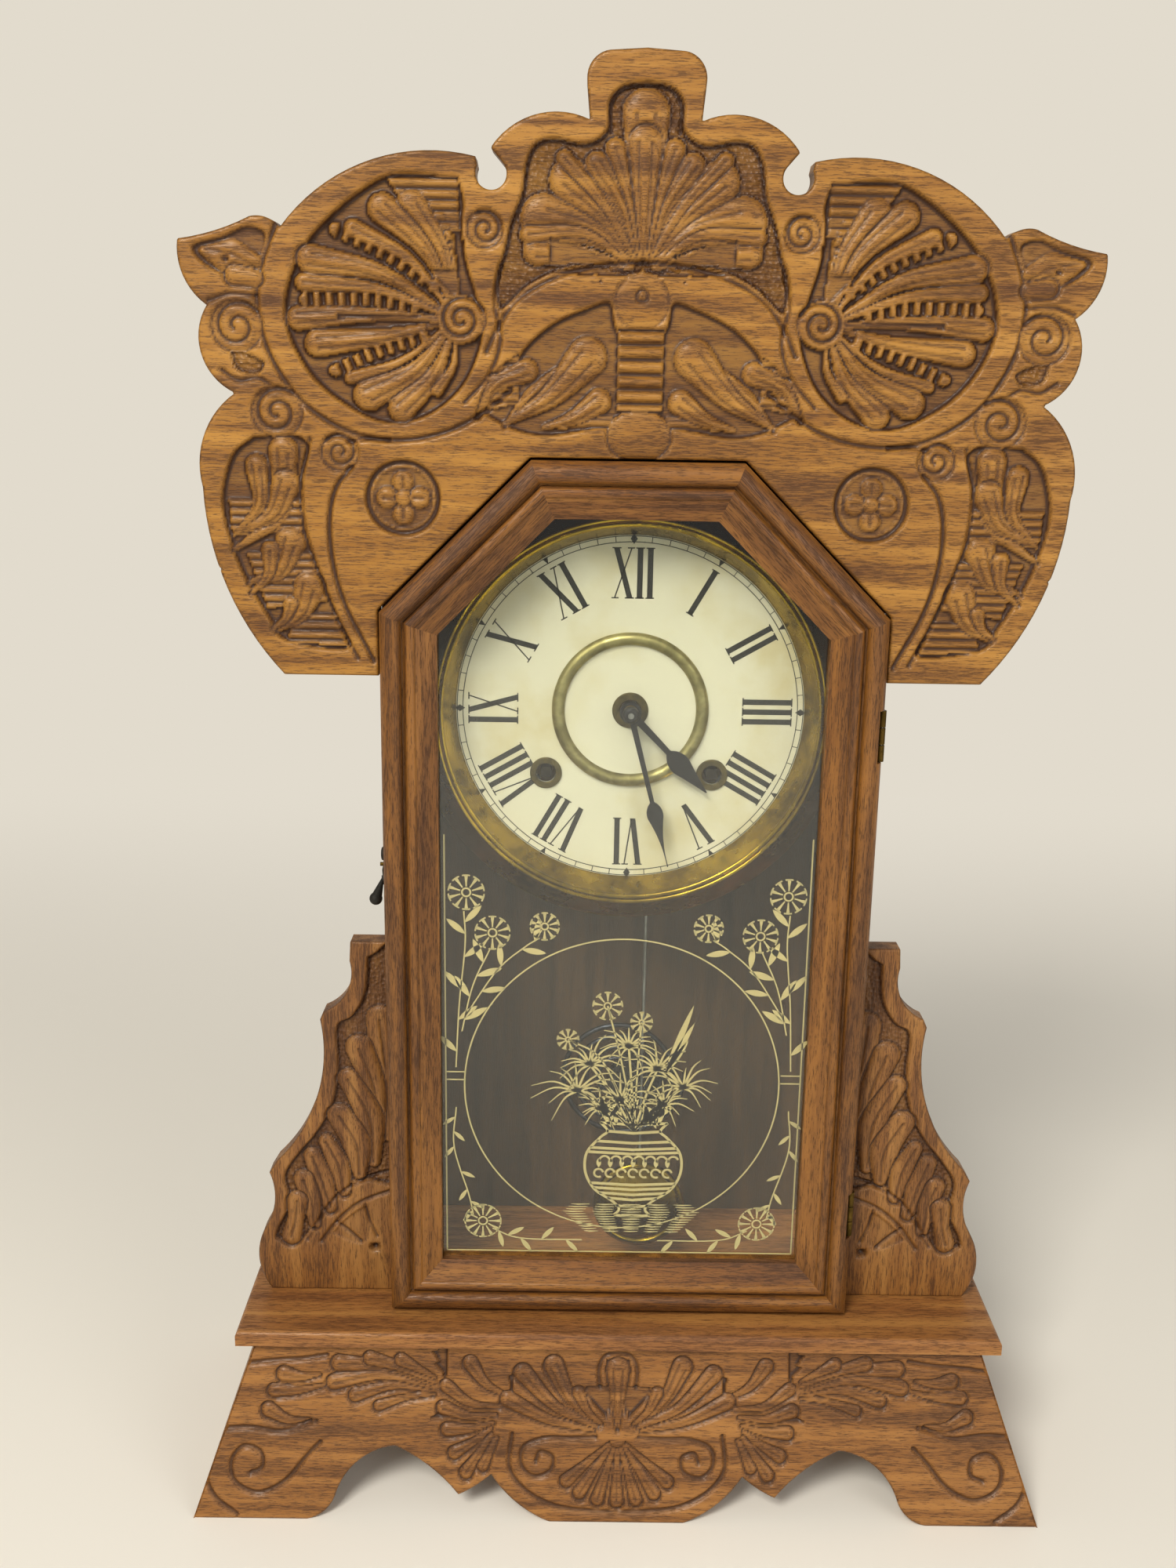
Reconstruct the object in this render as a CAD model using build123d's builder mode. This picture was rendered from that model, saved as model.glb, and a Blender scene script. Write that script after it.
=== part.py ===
from build123d import *
import os
from math import atan2, cos, hypot, pi, radians, sin, sqrt, tan

# A carved oak shelf clock of the kind called a gingerbread clock. A crest and two wings
# are set round a glazed door, on a splayed base with a cut-out apron, and an eight-day
# movement hangs a pendulum in the lower half of the case.
#
# Millimetres. X runs to the right as seen from the front, Y from front to back, Z up.
# The origin is on the floor, under the middle of the clock's width and depth.

os.makedirs("parts", exist_ok=True)

# Whole clock
clock_height = 572.0
clock_depth = 127.0
dial_centre_z = 333.2

# Base
base_height = 70.6
foot_reach = 79.0
apron_lean = 22.6
side_lean = 24.4
base_board = 10.0
arch_height = 30.3
block_leg = 16.0
block_height = 44.0

# Shelf on the base
shelf_thick = 6.4
shelf_side_overhang = 7.7
shelf_front_overhang = 5.8
shelf_round = 2.2

# Case
case_setback = 49.0
case_board = 8.0
back_board_thick = 6.0
pan_side_gap = 1.5
door_top_to_case_top = 14.2

# Crest and wings
crest_thick = 12.0
crest_ear = 69.7
crest_below_shoulder = 24.8
crest_door_gap = 0.8
wing_thick = 9.0
wing_height = 160.5
wing_inside_shelf = 4.1

# Door
door_side_gap = 0.7
door_back_gap = 0.3
door_bottom_gap = 1.3
door_head = 11.1
door_chamfer = 56.8
door_rail = 21.4
door_thick = 18.2
rebate_width = 4.0
rebate_depth = 8.2
glass_thick = 2.0
glass_lap = 3.6
bead_thick = 4.1
bead_gap = 0.2

# Door hinges, measured up from the shelf
hinge_heights = (48.0, 253.0)
hinge_length = 20.0
hinge_knuckle = 1.4
hinge_pin_radius = 0.7
hinge_pin_gap = 0.05
hinge_leaf = 0.5
hinge_clearance = 0.3
hinge_forward = 13.6
hinge_inset = 0.3
hinge_end_gap = 0.4
hinge_leaf_back = 9.0

# Latch on the left side
latch_pivot_z = 273.0
latch_pivot_back = 8.0
latch_angle = 22.0
latch_reach = 14.0
latch_plate = 0.9
latch_side_gap = 0.3
latch_half = 2.0
latch_screw_radius = 1.5
latch_screw_gap = 0.08
catch_radius = 0.8
catch_length = 2.4
catch_notch_gap = 0.35
thumb_radius = 2.6
thumb_drop = 8.5
thumb_out = 2.9
thumb_neck = 0.5

# Dial
dial_radius = 69.6
pan_reach = 17.9
pan_thick = 0.6
paper_thick = 0.4
paper_lap = 3.4
dial_setback = 12.7
bezel_front_gap = 0.4
bezel_sheet = 1.0
inner_ring_radius = 28.85
inner_ring_width = 5.1
inner_ring_height = 2.5
winding_side = 33.5
winding_drop = 26.2
winding_hole = 3.9
winding_grommet = 6.4
centre_hole = 4.2
centre_grommet = 7.2
grommet_height = 0.9
cleat_width = 9.0
cleat_depth = 12.0
cleat_half_height = 82.0

# Hands
hand_thick = 0.8
minute_hand_length = 65.0
minute_hand_lobe = (43.7, 3.2)
minute_hand_angle = 165.4
minute_hand_forward = 8.2
hour_hand_length = 45.0
hour_hand_lobe = (30.5, 4.0)
hour_hand_angle = 136.0
hour_hand_forward = 5.2
minute_boss = 3.2
hour_boss = 4.4
nut_radius = 3.3
nut_height = 3.4

# Movement frame
front_plate_setback = 16.0
plate_thick = 1.5
plate_half_width = 62.0
plate_below_centre = 55.0
plate_above_centre = 69.0
back_plate_gap = 5.5
pillar_radius = 3.0
pillar_inset = 6.0
window_rim = 9.0

# Wheel train
pivot_radius = 0.6
pivot_gap = 0.05
arbor_radius = 0.9
arbor_end_gap = 0.3
centre_arbor_radius = 1.2
winding_arbor_radius = 2.6
winding_square = 4.2
wheel_thick = 1.2
pinion_thick = 3.0
great_teeth = 72
second_teeth = 54
third_teeth = 54
escape_teeth = 42
equal_teeth = 30
pinion_leaves = 6
great_module = 0.723
second_module = 0.6
third_module = 0.5
equal_module = 0.665
hub_radius = 3.0
spoke_width = 2.2
ratchet_teeth = 16
ratchet_radius = 7.0
ratchet_depth = 1.5
spring_turns = 6
spring_strip = 0.7
spring_seat_gap = 0.3

# Escapement and pendulum
escape_above_centre = 29.3
escape_radius = 12.0
escape_tooth = 2.4
escape_tooth_share = 0.35
verge_above_escape = 17.5
pallet_span = 12
pallet_gap = 0.5
pallet_arm = 1.2
pallet_width = 3.0
pendulum_side = 9.0
pendulum_forward = 7.0
pendulum_rod_radius = 0.7
suspension_strip = 0.3
suspension_width = 3.0
suspension_drop = 8.0
suspension_above_pivot = 1.4
suspension_grip = 1.6
suspension_gap = 0.25
suspension_post = 2.6
bob_radius = 20.0
bob_rim = 3.0
bob_thick = 6.0
bob_above_shelf = 11.0
bob_collar = 2.2
bob_collar_height = 6.0
crutch_radius = 0.5
crutch_forward = 3.5
crutch_length = 28.0
crutch_slot_gap = 0.4

# Motion work behind the dial
cannon_leaves = 12
minute_wheel_teeth = 36
minute_pinion_leaves = 10
hour_wheel_teeth = 40
motion_distance = 14.4
motion_angle = 225.0
motion_wheel_thick = 1.0
motion_front_gap = 1.0
cannon_radius = 1.9
hour_pipe_radius = 3.0
pipe_gap = 0.08

# Gong
gong_wire = 1.1
gong_turns = 4
gong_inner = 9.0
gong_pitch = 5.4
gong_above_shelf = 73.0
gong_off_board = 9.0
gong_flange = 13.0
gong_flange_thick = 2.5
gong_block = 4.2

# Levels and depths that follow from these sizes
foot_front_y = -clock_depth / 2
back_y = clock_depth / 2
case_front_y = foot_front_y + case_setback
back_board_y = back_y - back_board_thick
apron_top_y = foot_front_y + apron_lean
shelf_front_y = apron_top_y - shelf_front_overhang
shelf_top_z = base_height + shelf_thick
pan_radius = dial_radius + pan_reach
case_inner_half = pan_radius + pan_side_gap
case_half = case_inner_half + case_board
foot_half = case_half + foot_reach
base_top_half = foot_half - side_lean
shelf_half = base_top_half + shelf_side_overhang
door_half = case_half - door_side_gap
door_bottom_z = shelf_top_z + door_bottom_gap
door_top_z = dial_centre_z + pan_radius + door_head
door_shoulder_z = door_top_z - door_chamfer
door_top_half = door_half - door_chamfer
door_back_y = case_front_y - door_back_gap
case_top_z = door_top_z + door_top_to_case_top
crest_foot_z = door_shoulder_z - crest_below_shoulder
crest_half = door_half + crest_ear
dial_y = case_front_y + dial_setback
pan_y = dial_y + paper_thick
pan_back_y = pan_y + pan_thick
front_plate_y = pan_back_y + front_plate_setback
gap_front_y = front_plate_y + plate_thick
gap_back_y = back_board_y - back_plate_gap - plate_thick
plate_gap = gap_back_y - gap_front_y


def front(y):
    """The upright plane at depth y, facing the viewer: sketches on it are in x and z."""
    return Plane.XZ.offset(-y)


def keep(piece, name):
    """Labels a finished piece and writes it."""
    piece.part.label = name
    export_step(piece.part, f"parts/{name}.step")


def trace(start, steps):
    """Draws one stretch after another: a step of one point is a line, of two an arc."""
    here = start
    for step in steps:
        if len(step) == 1:
            Line(here, step[0])
        else:
            ThreePointArc(here, step[0], step[1])
        here = step[-1]
    return here


def block(x, y, z, mode=Mode.ADD):
    """Adds a box between the limits given as pairs, or cuts it away."""
    with BuildSketch(Plane.XY.offset(z[0])) as footprint:
        with Locations(((x[0] + x[1]) / 2, (y[0] + y[1]) / 2)):
            Rectangle(x[1] - x[0], y[1] - y[0])
    extrude(footprint.sketch, amount=z[1] - z[0], mode=mode)


def rod(x, z, radius, y_front, y_back, mode=Mode.ADD):
    """Adds a round rod that runs from front to back, or drills it away."""
    with BuildSketch(front(y_back)) as section:
        with Locations((x, z)):
            Circle(radius)
    extrude(section.sketch, amount=y_back - y_front, mode=mode)


def tube(x, z, outer, inner, y_front, y_back):
    """Adds a flat ring or a tube about a line that runs from front to back."""
    with BuildSketch(front(y_back)) as section:
        with Locations((x, z)):
            Circle(outer)
            Circle(inner, mode=Mode.SUBTRACT)
    extrude(section.sketch, amount=y_back - y_front)


def bar(a, b, width, y_front, y_back):
    """Adds a flat bar from point a to point b, both given as x and z."""
    run = hypot(b[0] - a[0], b[1] - a[1])
    across = (-(b[1] - a[1]) / run * width / 2, (b[0] - a[0]) / run * width / 2)
    with BuildSketch(front(y_back)) as section:
        with BuildLine():
            Polyline(
                (a[0] + across[0], a[1] + across[1]),
                (b[0] + across[0], b[1] + across[1]),
                (b[0] - across[0], b[1] - across[1]),
                (a[0] - across[0], a[1] - across[1]),
                close=True,
            )
        make_face()
    extrude(section.sketch, amount=y_back - y_front)


# Base: a splayed front and two splayed sides under the shelf, mitred at the corners


def splayed(inset, back):
    """A tapering solid from floor to shelf, its front and sides moved in by inset."""
    with BuildPart() as solid:
        for z, half, y in (
            (0, foot_half, foot_front_y),
            (base_height, base_top_half, apron_top_y),
        ):
            with BuildSketch(Plane.XY.offset(z)):
                with Locations((0, (y + inset + back) / 2)):
                    Rectangle(2 * (half - inset), back - y - inset)
        loft()
    return solid.part


def through(side, points):
    """The plane through three points given for the right side, or for their mirror image."""
    a, b, c = (Vector(side * x, y, z) for x, y, z in points)
    return Plane(origin=a, x_dir=b - a, z_dir=(b - a).cross(c - a) * side)


inner_foot = (foot_half - base_board, foot_front_y + base_board)
inner_top = (base_top_half - base_board, apron_top_y + base_board)
mitre_points = (
    (foot_half, foot_front_y, 0),
    (base_top_half, apron_top_y, base_height),
    (inner_foot[0], inner_foot[1], 0),
)
block_points = (
    (inner_foot[0] - block_leg, inner_foot[1], 0),
    (inner_top[0] - block_leg, inner_top[1], base_height),
    (inner_foot[0], inner_foot[1] + block_leg, 0),
)

with BuildPart() as base_shell:
    add(splayed(0, back_y))
    add(splayed(base_board, back_y + base_board), mode=Mode.SUBTRACT)

apron_face = Plane(
    origin=(0, foot_front_y, 0),
    x_dir=(1, 0, 0),
    z_dir=(0, -base_height, apron_lean),
)
apron_drawn_half = 176.0
apron_drawn_arch = 30.3
apron_drawn_foot = 28.0
apron_edge = [
    ((41, 7), (52.5, 19)),
    ((60, 13.6), (66, 10.6)),
    ((78, 21.8), (93, arch_height)),
    ((108, 24), (117, 11)),
    ((121, 4), (129, 0)),
]


def on_apron(point):
    """Fits a drawn point of the apron's edge to the base's width and the arch's height."""
    x, z = point
    return x * foot_half / apron_drawn_half, z * arch_height / apron_drawn_arch


with BuildPart() as apron_front:
    add(base_shell.part)
    split(bisect_by=through(1, mitre_points), keep=Keep.TOP)
    split(bisect_by=through(-1, mitre_points), keep=Keep.TOP)
    with BuildSketch(apron_face):
        with BuildLine():
            start = on_apron((apron_drawn_foot, 0))
            end = trace(start, [tuple(on_apron(p) for p in step) for step in apron_edge])
            Polyline(end, (end[0], -base_board), (start[0], -base_board), start)
        make_face()
        mirror(about=Plane.YZ)
    extrude(amount=2 * base_board, both=True, mode=Mode.SUBTRACT)
keep(apron_front, "apron_front")

for side, name in ((1, "right"), (-1, "left")):
    with BuildPart() as base_side:
        add(base_shell.part)
        split(bisect_by=through(side, mitre_points), keep=Keep.BOTTOM)
    keep(base_side, f"base_side_{name}")

glue_corners = []
for side in (1, -1):
    with BuildPart() as corner:
        add(splayed(base_board, back_y))
        split(bisect_by=through(side, block_points), keep=Keep.BOTTOM)
        split(bisect_by=Plane.XY.offset(base_height - block_height), keep=Keep.TOP)
    glue_corners.append(corner.part)
with BuildPart() as glue_blocks:
    add(glue_corners)
keep(glue_blocks, "glue_blocks")

with BuildPart() as shelf_board:
    block((-shelf_half, shelf_half), (shelf_front_y, back_y), (base_height, shelf_top_z))
    nosing = shelf_board.edges().group_by(Axis.Z)[-1].sort_by(Axis.Y)[:-1]
    fillet(nosing, shelf_round)
keep(shelf_board, "shelf_board")


# Case: two sides, a top that covers them and a back nailed over all three


def hinge_levels():
    """The middle height of each door hinge."""
    return [shelf_top_z + height for height in hinge_heights]


for side, name in ((1, "right"), (-1, "left")):
    with BuildPart() as case_side:
        x = sorted((side * case_inner_half, side * case_half))
        block(x, (case_front_y, back_board_y), (shelf_top_z, case_top_z - case_board))
        if side == 1:
            for z in hinge_levels():
                leaf = (z - hinge_length / 2, z + hinge_length / 2)
                block(x, (case_front_y, case_front_y + hinge_leaf), leaf, Mode.SUBTRACT)
        else:
            with BuildSketch(Plane.YZ.offset(-case_half)):
                with Locations((case_front_y + latch_pivot_back, latch_pivot_z)):
                    Circle(latch_screw_radius)
            extrude(amount=case_board - 1, mode=Mode.SUBTRACT)
    keep(case_side, f"case_side_{name}")

with BuildPart() as case_top:
    block(
        (-case_half, case_half),
        (case_front_y, back_board_y),
        (case_top_z - case_board, case_top_z),
    )
keep(case_top, "case_top")

with BuildPart() as back_board:
    block((-case_half, case_half), (back_board_y, back_y), (shelf_top_z, case_top_z))
keep(back_board, "back_board")

# Crest: one board with a carved outline, cut out round the top of the door
crest_drawn_half = 166.0
crest_drawn_height = 221.8
crest_height = clock_height - crest_foot_z
crest_edge = [
    ((12, 221.0),),
    ((18.6, 218.0), (20.8, 210.8)),
    ((19.6, 198.4),),
    ((38, 200.0), (54.4, 188.8)),
    ((50.2, 184.0),),
    ((54.5, 174.8), (59.2, 182.8)),
    ((59.8, 185.8),),
    ((95, 184.6), (129.3, 161.2)),
    ((134.5, 164.6), (140, 164.7)),
    ((152, 159.9), (165.9, 156.8)),
    ((164.8, 145.0), (156.5, 134.3)),
    ((159.6, 118.8), (147.6, 103.8)),
    ((156.5, 94.8), (160.9, 69.8)),
    ((156, 39.8), (133, 0)),
]


def on_crest(point):
    """Fits a drawn point of the crest, in x and height above its foot, to its size."""
    x, z = point
    return (
        x * crest_half / crest_drawn_half,
        crest_foot_z + z * crest_height / crest_drawn_height,
    )


def octagon(inset):
    """The door's six corners, moved in by inset, anticlockwise from the bottom right."""
    half = door_half - inset
    step = inset * tan(radians(22.5))
    shoulder_z = door_shoulder_z - step
    top_half = door_top_half - step
    top_z = door_top_z - inset
    bottom_z = door_bottom_z + inset
    return [
        (half, bottom_z),
        (half, shoulder_z),
        (top_half, top_z),
        (-top_half, top_z),
        (-half, shoulder_z),
        (-half, bottom_z),
    ]


with BuildPart() as crest_board:
    with BuildSketch(front(case_front_y)):
        with BuildLine():
            top = on_crest((0, crest_drawn_height))
            end = trace(top, [tuple(on_crest(p) for p in step) for step in crest_edge])
            Polyline(end, (0, end[1]), top)
        make_face()
        mirror(about=Plane.YZ)
    extrude(amount=crest_thick)
    with BuildSketch(front(case_front_y)):
        with BuildLine():
            Polyline(*octagon(-crest_door_gap), close=True)
        make_face()
    extrude(amount=crest_thick, mode=Mode.SUBTRACT)
keep(crest_board, "crest_board")

# Wings: a carved bracket beside each side of the case, standing on the shelf
wing_drawn_width = 58.2
wing_drawn_height = 160.5
wing_width = shelf_half - case_half - wing_inside_shelf
wing_edge = [
    ((15.5, 160.5),),
    ((16, 152),),
    ((18.6, 136.5), (27.2, 129.5)),
    ((28.8, 126),),
    ((28.2, 104), (34, 83.5)),
    ((40, 72), (49, 61)),
    ((52.3, 55.5),),
    ((50.4, 43), (54.5, 30)),
    ((58.2, 16), (53, 0)),
]


def on_wing(point):
    """Fits a drawn point of the wing, in x and z from its inner foot, to its size."""
    x, z = point
    return (
        case_half + x * wing_width / wing_drawn_width,
        shelf_top_z + z * wing_height / wing_drawn_height,
    )


for side, name in ((1, "right"), (-1, "left")):
    with BuildPart() as wing:
        with BuildSketch(front(case_front_y)):
            with BuildLine():
                top = on_wing((0, wing_drawn_height))
                end = trace(top, [tuple(on_wing(p) for p in step) for step in wing_edge])
                Polyline(end, (case_half, end[1]), top)
            make_face()
        extrude(amount=-wing_thick)
        if side == -1:
            mirror(about=Plane.YZ, mode=Mode.REPLACE)
    keep(wing, f"wing_{name}")

# Door: six moulded rails mitred round a pane of glass
rail_drawn_width = 21.4
rail_drawn_thick = 18.2
bead_width = glass_lap - bead_gap


def rail_point(u, v):
    """Fits a drawn point of the rail's section, in from the edge and up, to its size."""
    return u * door_rail / rail_drawn_width, v * door_thick / rail_drawn_thick


def rail_section():
    """Draws the moulded section: two ridges with a groove between, and a slope to the glass."""
    inside = door_rail
    back = inside - rebate_width
    with BuildLine() as outline:
        end = trace(
            (0, 0),
            [
                (rail_point(0, 14.5),),
                (rail_point(2.0, 17.1), rail_point(6, 18.2)),
                (rail_point(7.6, 16.9), rail_point(8.2, 14.2)),
                (rail_point(9.4, 13.8),),
                (rail_point(11.4, 17.0), rail_point(13.6, 15.7)),
                (rail_point(21.4, 11.5),),
            ],
        )
        Polyline(end, (inside, rebate_depth), (back, rebate_depth), (back, 0), (0, 0))
    return outline.edges()


def bead_section():
    """Draws the strip that holds the glass in its rebate from behind."""
    low = rebate_depth - glass_thick - bead_gap - bead_thick
    left = door_rail - rebate_width + bead_gap
    with BuildLine() as outline:
        Polyline(
            (left, low),
            (left + bead_width, low),
            (left + bead_width, low + bead_thick),
            (left, low + bead_thick),
            close=True,
        )
    return outline.edges()


def mitred(index, section):
    """Adds the strip along one side of the door, cut off at the mitres of its two corners."""
    corners = octagon(0)
    before, start, end, after = (
        Vector(corners[(index + k) % 6][0], 0, corners[(index + k) % 6][1])
        for k in (-1, 0, 1, 2)
    )
    along = (end - start).normalized()
    inward = Vector(-along.Z, 0, along.X)
    spare = 2 * door_rail
    foot = start - along * spare + Vector(0, door_back_y, 0)
    with BuildSketch(Plane(origin=foot, x_dir=inward, z_dir=along)) as profile:
        make_face(section())
    extrude(profile.sketch, amount=(end - start).length + 2 * spare)
    first = (start - before).normalized() + along
    last = along + (after - end).normalized()
    split(bisect_by=Plane(origin=start, z_dir=first), keep=Keep.TOP)
    split(bisect_by=Plane(origin=end, z_dir=last), keep=Keep.BOTTOM)


def mitred_part(index, section):
    """One mitred strip as a part of its own."""
    with BuildPart() as strip:
        mitred(index, section)
    return strip.part


hinge_x = door_half - hinge_inset
hinge_y = case_front_y - hinge_forward
door_leaf_x = hinge_x - hinge_knuckle
for index, name in enumerate(
    (
        "door_stile_right",
        "door_diagonal_right",
        "door_rail_top",
        "door_diagonal_left",
        "door_stile_left",
        "door_rail_bottom",
    )
):
    with BuildPart() as rail:
        mitred(index, rail_section)
        if name == "door_stile_right":
            for z in hinge_levels():
                half = hinge_length / 2 + hinge_clearance
                block(
                    (door_leaf_x - hinge_clearance, case_half),
                    (hinge_y - door_thick, hinge_y + hinge_leaf_back),
                    (z - half, z + half),
                    Mode.SUBTRACT,
                )
    keep(rail, name)

with BuildPart() as door_glass:
    with BuildSketch(front(door_back_y - rebate_depth + glass_thick)):
        with BuildLine():
            Polyline(*octagon(door_rail - glass_lap), close=True)
        make_face()
    extrude(amount=glass_thick)
keep(door_glass, "door_glass")

bead_strips = [mitred_part(index, bead_section) for index in range(6)]
with BuildPart() as glass_beads:
    add(bead_strips)
keep(glass_beads, "glass_beads")

# Door hinges: three knuckles on a pin, the outer two on the case and the middle on the door
knuckle_length = (hinge_length - 2 * hinge_end_gap) / 3


def knuckle(z, low, high):
    """Adds one knuckle of a hinge, bored for its pin."""
    with BuildSketch(Plane.XY.offset(z + low)) as section:
        with Locations((hinge_x, hinge_y)):
            Circle(hinge_knuckle)
    extrude(section.sketch, amount=high - low)


def pin_hole(z, low, high):
    """Bores the knuckles for the pin."""
    with BuildSketch(Plane.XY.offset(z + low)) as section:
        with Locations((hinge_x, hinge_y)):
            Circle(hinge_pin_radius + hinge_pin_gap)
    extrude(section.sketch, amount=high - low, mode=Mode.SUBTRACT)


middle_top = knuckle_length / 2
end_low = middle_top + hinge_end_gap
end_high = hinge_length / 2
strap = (case_half - hinge_leaf - 0.05, case_half - 0.05)

with BuildPart() as hinge_case_leaves:
    for z in hinge_levels():
        for low, high in ((-end_high, -end_low), (end_low, end_high)):
            knuckle(z, low, high)
            block(strap, (hinge_y, case_front_y + hinge_leaf), (z + low, z + high))
            block(
                (case_inner_half, strap[1]),
                (case_front_y, case_front_y + hinge_leaf),
                (z + low, z + high),
            )
        pin_hole(z, -end_high, end_high)
keep(hinge_case_leaves, "hinge_case_leaves")

with BuildPart() as hinge_door_leaves:
    for z in hinge_levels():
        knuckle(z, -middle_top, middle_top)
        block(
            (door_leaf_x - hinge_clearance, door_leaf_x - hinge_clearance + hinge_leaf),
            (hinge_y, hinge_y + hinge_leaf_back),
            (z - middle_top, z + middle_top),
        )
        block(
            (door_leaf_x - hinge_clearance, hinge_x),
            (hinge_y, hinge_y + hinge_knuckle),
            (z - middle_top, z + middle_top),
        )
        pin_hole(z, -middle_top, middle_top)
keep(hinge_door_leaves, "hinge_door_leaves")

with BuildPart() as hinge_pins:
    for z in hinge_levels():
        with BuildSketch(Plane.XY.offset(z - hinge_length / 2)):
            with Locations((hinge_x, hinge_y)):
                Circle(hinge_pin_radius)
        extrude(amount=hinge_length)
keep(hinge_pins, "hinge_pins")

# Latch: a hook on a screw in the left side, which lifts to catch a pin in the door's edge
latch_pivot_y = case_front_y + latch_pivot_back
latch_x = -case_half - latch_side_gap
tilt = radians(latch_angle)
latch_face = Plane(
    origin=(latch_x, latch_pivot_y, latch_pivot_z),
    x_dir=(0, -cos(tilt), -sin(tilt)),
    z_dir=(-1, 0, 0),
)
notch = catch_radius + catch_notch_gap
latch_tip = latch_reach + 2.2 * notch
with BuildPart() as latch_hook:
    with BuildSketch(latch_face):
        Circle(latch_half * 1.7)
        with BuildLine():
            trace(
                (0, latch_half),
                [
                    ((latch_reach - notch, latch_half),),
                    ((latch_reach - notch, 0),),
                    ((latch_reach, -notch), (latch_reach + notch, 0)),
                    ((latch_reach + notch, latch_half * 0.6),),
                    ((latch_tip, 0),),
                    ((latch_tip, -latch_half * 1.2),),
                    ((latch_reach, -latch_half - notch), (latch_reach - 3 * notch, -latch_half),),
                    ((0, -latch_half),),
                    ((0, latch_half),),
                ],
            )
        make_face()
        Circle(latch_screw_radius + latch_screw_gap, mode=Mode.SUBTRACT)
    extrude(amount=latch_plate)
    tip = latch_face.from_local_coords(Vector(latch_tip - 0.9, 0, latch_plate / 2))
    thumb = Vector(tip.X - thumb_out, tip.Y, tip.Z - thumb_drop)
    down = (thumb - tip).normalized()
    reach = (thumb - tip).length
    with Locations(Plane(origin=tip, z_dir=down)):
        Cone(
            bottom_radius=thumb_neck,
            top_radius=thumb_radius * 0.9,
            height=reach,
            align=(Align.CENTER, Align.CENTER, Align.MIN),
        )
    with Locations(thumb):
        Sphere(thumb_radius)
keep(latch_hook, "latch_hook")

with BuildPart() as latch_screw:
    with BuildSketch(Plane.YZ.offset(-case_half + case_board - 1)):
        with Locations((latch_pivot_y, latch_pivot_z)):
            Circle(latch_screw_radius)
    extrude(amount=-(case_board - 1 + latch_side_gap + latch_plate + latch_side_gap))
    with BuildSketch(Plane.YZ.offset(latch_x - latch_plate - latch_side_gap)):
        with Locations((latch_pivot_y, latch_pivot_z)):
            Circle(latch_screw_radius * 1.9)
    extrude(amount=-latch_screw_radius)
    head = latch_screw.faces().sort_by(Axis.X)[0].edges()
    fillet(head, latch_screw_radius * 0.6)
keep(latch_screw, "latch_screw")

with BuildPart() as latch_catch:
    catch = (latch_pivot_y - latch_reach, latch_pivot_z)
    with BuildSketch(Plane.YZ.offset(-door_half)):
        with Locations(catch):
            Circle(catch_radius)
    extrude(amount=-catch_length)
keep(latch_catch, "latch_catch")


# Dial: a tin pan on two cleats, a paper face, a brass bezel and brass rings

with BuildPart() as dial_cleats:
    for side in (1, -1):
        block(
            sorted((side * case_inner_half, side * (case_inner_half - cleat_width))),
            (pan_back_y, pan_back_y + cleat_depth),
            (dial_centre_z - cleat_half_height, dial_centre_z + cleat_half_height),
        )
keep(dial_cleats, "dial_cleats")

winding_z = dial_centre_z - winding_drop


def pierced_disc(radius, y, thick):
    """Adds a disc with the dial's three holes, its front at depth y."""
    with BuildSketch(front(y + thick)) as section:
        with Locations((0, dial_centre_z)):
            Circle(radius)
            Circle(centre_hole, mode=Mode.SUBTRACT)
        with Locations((winding_side, winding_z), (-winding_side, winding_z)):
            Circle(winding_hole, mode=Mode.SUBTRACT)
    extrude(section.sketch, amount=thick)


with BuildPart() as dial_pan:
    pierced_disc(pan_radius, pan_y, pan_thick)
keep(dial_pan, "dial_pan")

with BuildPart() as dial_paper:
    pierced_disc(dial_radius + paper_lap, dial_y, paper_thick)
keep(dial_paper, "dial_paper")

with BuildPart() as dial_grommets:
    tube(0, dial_centre_z, centre_grommet, centre_hole, dial_y - grommet_height, dial_y)
    for side in (1, -1):
        tube(
            side * winding_side,
            winding_z,
            winding_grommet,
            winding_hole,
            dial_y - grommet_height,
            dial_y,
        )
    rims = dial_grommets.faces().filter_by(Axis.Y).sort_by(Axis.Y)[:3].edges()
    chamfer(rims, grommet_height / 3)
keep(dial_grommets, "dial_grommets")

dial_axis = Axis((0, 0, dial_centre_z), (0, 1, 0))
section_plane = Plane(origin=(0, 0, dial_centre_z), x_dir=(1, 0, 0), z_dir=(0, 0, 1))

with BuildPart() as dial_inner_ring:
    with BuildSketch(section_plane):
        with BuildLine():
            low = (inner_ring_radius - inner_ring_width / 2, dial_y)
            high = (inner_ring_radius + inner_ring_width / 2, dial_y)
            ThreePointArc(low, (inner_ring_radius, dial_y - inner_ring_height), high)
            Line(high, low)
        make_face()
    revolve(axis=dial_axis)
keep(dial_inner_ring, "dial_inner_ring")

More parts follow.
